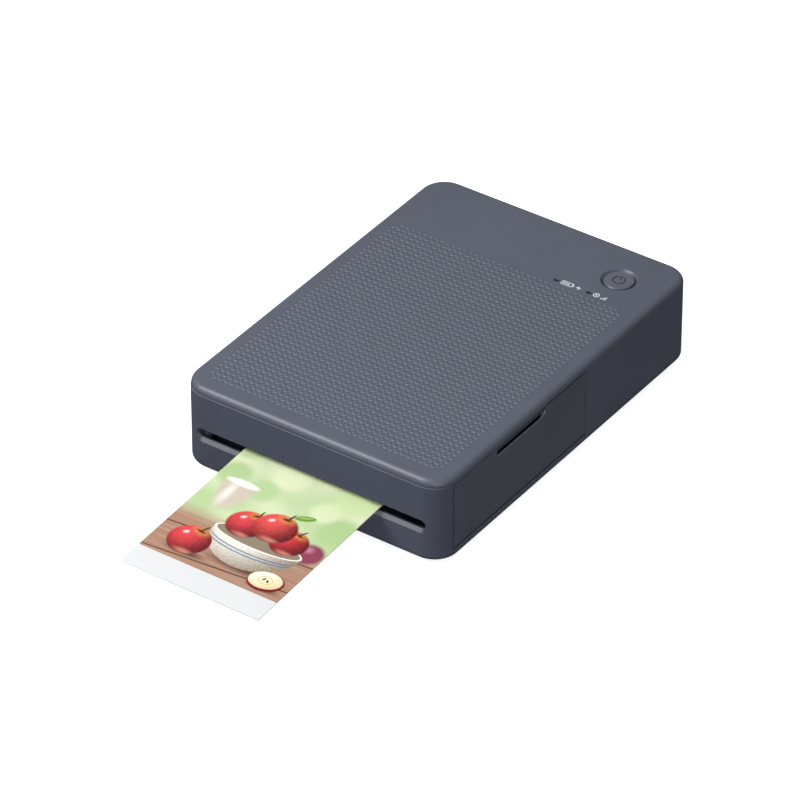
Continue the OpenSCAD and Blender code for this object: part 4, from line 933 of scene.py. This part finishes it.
class Painting:
    """The picture in its own millimetres: X from its middle, Y up from its lower edge."""

    def __init__(self, tree, place, ground, mottle):
        self.tree = tree
        self.place = place
        self.colour = ground
        self.mottle = mottle

    def node(self, kind, inputs, **settings):
        """One node's first output."""
        made = add_node(self.tree, kind, inputs, **settings)
        return made.outputs["Result" if kind == "ShaderNodeMapRange" else 0]

    def disc(self, centre, size, inner=0.94, outer=1.06, angle=0):
        """1 inside an ellipse and 0 outside it, smooth from inner to outer radii."""
        local = self.node("ShaderNodeMapping", {
            "Vector": self.place, "Location": (*centre, 0), "Rotation": (0, 0, math.radians(angle)),
            "Scale": (*size, 1),
        }, vector_type="TEXTURE")
        far = add_node(self.tree, "ShaderNodeVectorMath", {0: local}, operation="LENGTH").outputs["Value"]
        return self.node("ShaderNodeMapRange", {
            "Value": far, "From Min": outer, "From Max": inner,
        }, interpolation_type="SMOOTHSTEP")

    def below(self, level, blur=0.3):
        """1 under a level of the picture and 0 above it."""
        height = add_node(self.tree, "ShaderNodeSeparateXYZ", {"Vector": self.place}).outputs["Y"]
        return self.node("ShaderNodeMapRange", {
            "Value": height, "From Min": level + blur, "From Max": level - blur,
        }, interpolation_type="SMOOTHSTEP")

    def both(self, mask, other):
        """What two masks share."""
        return self.node("ShaderNodeMath", {0: mask, 1: other}, operation="MULTIPLY")

    def without(self, mask, other):
        """A mask less another one."""
        rest = self.node("ShaderNodeMath", {0: 1.0, 1: other}, operation="SUBTRACT")
        return self.both(mask, rest)

    def lay(self, mask, paint):
        """Paints over what is there, where the mask is 1."""
        layer = add_node(
            self.tree, "ShaderNodeMix", {0: mask, 6: self.colour, 7: paint}, data_type="RGBA",
        )
        self.colour = layer.outputs[2]

    def glaze(self, mask, strength, code):
        """A thinner or thicker coat of one colour; past a strength of 1, its soft edge hardens."""
        self.lay(self.both(mask, strength), linear(code))

    def round_body(self, mask, centre, size, light, dark):
        """Shades a rounded thing from its lit upper left to its far side, with a mottled skin."""
        lit = (centre[0] - 0.4 * size[0], centre[1] + 0.42 * size[1])
        shade = self.disc(lit, size, 0.05, 1.55)
        uneven = self.node("ShaderNodeMath", {0: self.mottle, 1: 0.5}, operation="SUBTRACT")
        part = self.node(
            "ShaderNodeMath", {0: uneven, 1: 0.55, 2: shade}, operation="MULTIPLY_ADD", use_clamp=True,
        )
        body = add_node(
            self.tree, "ShaderNodeMix", {0: part, 6: linear(dark), 7: linear(light)}, data_type="RGBA",
        )
        self.lay(mask, body.outputs[2])

    def apple(self, centre, radius, light="#e2474b", turn=0, blur=0.06):
        """A red apple: skin, yellow shoulder, dimple, stem, glint and the table's light from below."""
        skin = self.disc(centre, (radius, 0.93 * radius), 1 - blur, 1 + blur)
        self.round_body(skin, centre, (radius, radius), light, "#5f0d16")

        def spot(place, size, inner, outer, angle=0.0):
            """A disc whose place and size are shares of the apple's radius."""
            x, y = (centre[i] + place[i] * radius for i in (0, 1))
            return self.disc((x, y), (size[0] * radius, size[1] * radius), inner, outer, angle)

        shoulder = spot((0.15, 0.75), (0.7, 0.42), 0.1, 1.0, turn)
        self.lay(self.both(self.both(skin, shoulder), self.mottle), linear("#e9b24a"))
        self.glaze(self.both(skin, spot((0.2, -0.75), (0.75, 0.25), 0.0, 1.0)), 0.8, "#d98a72")
        self.lay(spot((0.12, 0.72), (0.3, 0.1), 0.3, 1.2, turn), linear("#5c1a16"))
        self.lay(spot((0.2, 0.93), (0.055, 0.27), 0.7, 1.2, turn - 18), linear("#4a3524"))
        self.lay(spot((-0.42, 0.38), (0.2, 0.13), 0.1, 1.1, 35), linear("#fbe9e4"))


def printed_paper():
    """Glossy dye print on white coated paper, on the upper face only."""
    made, tree, place = new_material("glossy_dye_print")
    sheet = add_node(tree, "ShaderNodeMapping", {
        "Vector": place, "Scale": (1 / MM, 1 / MM, 0), "Location": (0, -print_front / MM - stub, 0),
    }).outputs[0]
    mottle = add_node(tree, "ShaderNodeTexNoise", {"Vector": sheet, "Scale": 0.9, "Detail": 4.0})
    glow = add_node(tree, "ShaderNodeTexNoise", {"Vector": sheet, "Scale": 0.05, "Detail": 1.0})
    leaves = add_node(tree, "ShaderNodeValToRGB", {"Fac": glow.outputs["Fac"]})
    for element, (spot, code) in zip(leaves.color_ramp.elements, ((0.34, "#b7cf98"), (0.68, "#e2e8c2"))):
        element.position = spot
        element.color = linear(code)
    art = Painting(tree, sheet, leaves.outputs[0], mottle.outputs["Fac"])
    # A garden far out of focus: discs of light and shade among the leaves
    for x, y, radius, code in (
        (-16, 70, 9, "#dde8b8"), (9, 76, 11, "#eceed2"), (19, 54, 8, "#cfe2aa"), (-5, 53, 7, "#e2eabf"),
        (-22, 45, 6, "#b4cd92"), (23, 38, 7, "#b0cb8e"), (3, 62, 6, "#cbdeac"), (-24, 58, 5, "#bdd49d"),
        (14, 44, 5, "#dbe7b8"), (25, 66, 5, "#e4eac4"), (-9, 42, 5, "#b9d197"),
    ):
        art.lay(art.disc((x, y), (radius, radius), 0.62, 1.3), linear(code))
    # The table's boards, blurred along their far edge, with two joints between them
    run = add_node(tree, "ShaderNodeMapping", {
        "Vector": sheet, "Scale": (0.03, 0.8, 1.0), "Rotation": (0, 0, 0.1),
    })
    grain = add_node(tree, "ShaderNodeTexNoise", {"Vector": run.outputs[0], "Scale": 1.0, "Detail": 5.0})
    wood = add_node(
        tree, "ShaderNodeMix",
        {0: grain.outputs["Fac"], 6: linear("#86604a"), 7: linear("#caa088")}, data_type="RGBA",
    )
    art.lay(art.below(23, 4.5), wood.outputs[2])
    for joint in ((-6, 16.5), (10, 4.2)):
        art.glaze(art.disc(joint, (60, 0.3), 0.5, 1.6, 5), 1.05, "#5f4232")
    # Out of focus behind: a cup and a plum
    cup = art.both(art.disc((-16.5, 42), (6.2, 14.5), 0.86, 1.12), art.below(42, 1.0))
    art.lay(cup, linear("#cfc4b0"))
    art.lay(art.disc((-18.3, 36), (2.2, 8.5), 0.0, 1.2), linear("#f1ebdf"))
    art.lay(art.disc((-16.5, 42), (6.0, 1.5), 0.8, 1.25), linear("#f6f1e6"))
    art.lay(art.disc((21.5, 24.5), (5.0, 4.8), 0.8, 1.2), linear("#8d3d55"))
    art.lay(art.disc((20.0, 26.3), (2.6, 2.2), 0.0, 1.2), linear("#c77f92"))
    # A bowl of apples: its shadow, the inside, the fruit, then the wall in front of it
    bowl = (4.5, 21.0)
    rim = art.disc(bowl, (16.6, 3.9), 0.99, 1.01)
    inside_rim = art.disc(bowl, (15.9, 3.4), 0.985, 1.015)
    wall = art.both(art.disc(bowl, (16.6, 14.2), 0.985, 1.015), art.below(bowl[1], 0.1))
    art.lay(art.both(art.disc((8.0, 7.8), (18, 3.4), 0.2, 1.1), art.below(40)), linear("#5b3f31"))
    art.lay(rim, linear("#efe7d8"))
    art.lay(inside_rim, linear("#8f7f6b"))
    art.apple((-3.8, 26.0), 6.9, turn=12)
    art.apple((13.0, 25.6), 6.6, light="#d63a3f", turn=-14)
    art.apple((5.0, 29.2), 7.6, light="#e9524f", turn=4)
    art.lay(art.disc((10.4, 38.2), (3.6, 1.25), 0.9, 1.08, 24), linear("#6d9a3c"))
    art.lay(art.disc((10.4, 38.5), (3.1, 0.45), 0.3, 1.2, 24), linear("#a8c96a"))
    front_wall = art.without(wall, inside_rim)
    art.round_body(front_wall, (4.5, 16.0), (16.0, 13.0), "#f7f1e5", "#93826d")
    for level in (14.2, 12.9):
        line = art.without(
            art.disc((4.5, level + 4.2), (16.2, 4.2)), art.disc((4.5, level + 4.6), (16.2, 4.2)),
        )
        art.glaze(art.both(art.both(front_wall, line), art.below(level + 3.6)), 1.2, "#4f7396")
    art.lay(art.both(art.without(rim, inside_rim), art.below(bowl[1] + 0.4)), linear("#fbf7ee"))
    # In front: one apple on the boards, and a cut half with its core
    art.lay(art.disc((-12.6, 4.6), (9.6, 2.1), 0.2, 1.1), linear("#5b3f31"))
    art.apple((-14.6, 10.2), 7.4, turn=-8, blur=0.03)
    art.lay(art.disc((18.6, 3.2), (7.4, 2.0), 0.2, 1.1), linear("#5b3f31"))
    half_skin = art.disc((17.8, 6.3), (6.4, 4.6), 0.97, 1.03, 8)
    cut_face = art.disc((17.4, 6.9), (5.8, 4.0), 0.97, 1.03, 8)
    core_line = art.without(art.disc((17.4, 6.9), (2.6, 1.9)), art.disc((17.4, 6.9), (2.3, 1.6)))
    art.round_body(half_skin, (17.8, 6.3), (6.4, 4.6), "#d8443f", "#6c1019")
    art.round_body(cut_face, (17.4, 6.9), (8.0, 6.0), "#fdf6db", "#dcc78f")
    art.lay(core_line, linear("#cdb477"))
    for x, y, turn in ((16.7, 7.2, 60), (18.2, 6.8, 120)):
        art.lay(art.disc((x, y), (0.75, 0.38), 0.8, 1.1, turn), linear("#3c2415"))
    # White stubs beyond both ends of the picture, and on the back and edges of the sheet
    upward = add_mask(tree, place.node.outputs["Normal"], {"Z": (0.5, 1.1)})
    along = add_mask(tree, sheet, {"Y": (0.0, picture_length)})
    shown = add_node(tree, "ShaderNodeMath", {0: along, 1: upward}, operation="MULTIPLY")
    colour = add_node(
        tree, "ShaderNodeMix",
        {0: shown.outputs[0], 6: linear("#dbdbda"), 7: art.colour}, data_type="RGBA",
    )
    finish_material(tree, add_node(tree, "ShaderNodeBsdfPrincipled", {
        "Base Color": colour.outputs[2], "Roughness": 0.34, "IOR": 1.5, "Specular IOR Level": 0.3,
    }))
    return made


dress(printed_paper(), "photo_print")
# In the studio a black card keeps the bright sheet's colour off the front wall.
frame["nodes"]["photo_print"].visible_diffuse = False
frame["nodes"]["photo_print"].visible_glossy = False
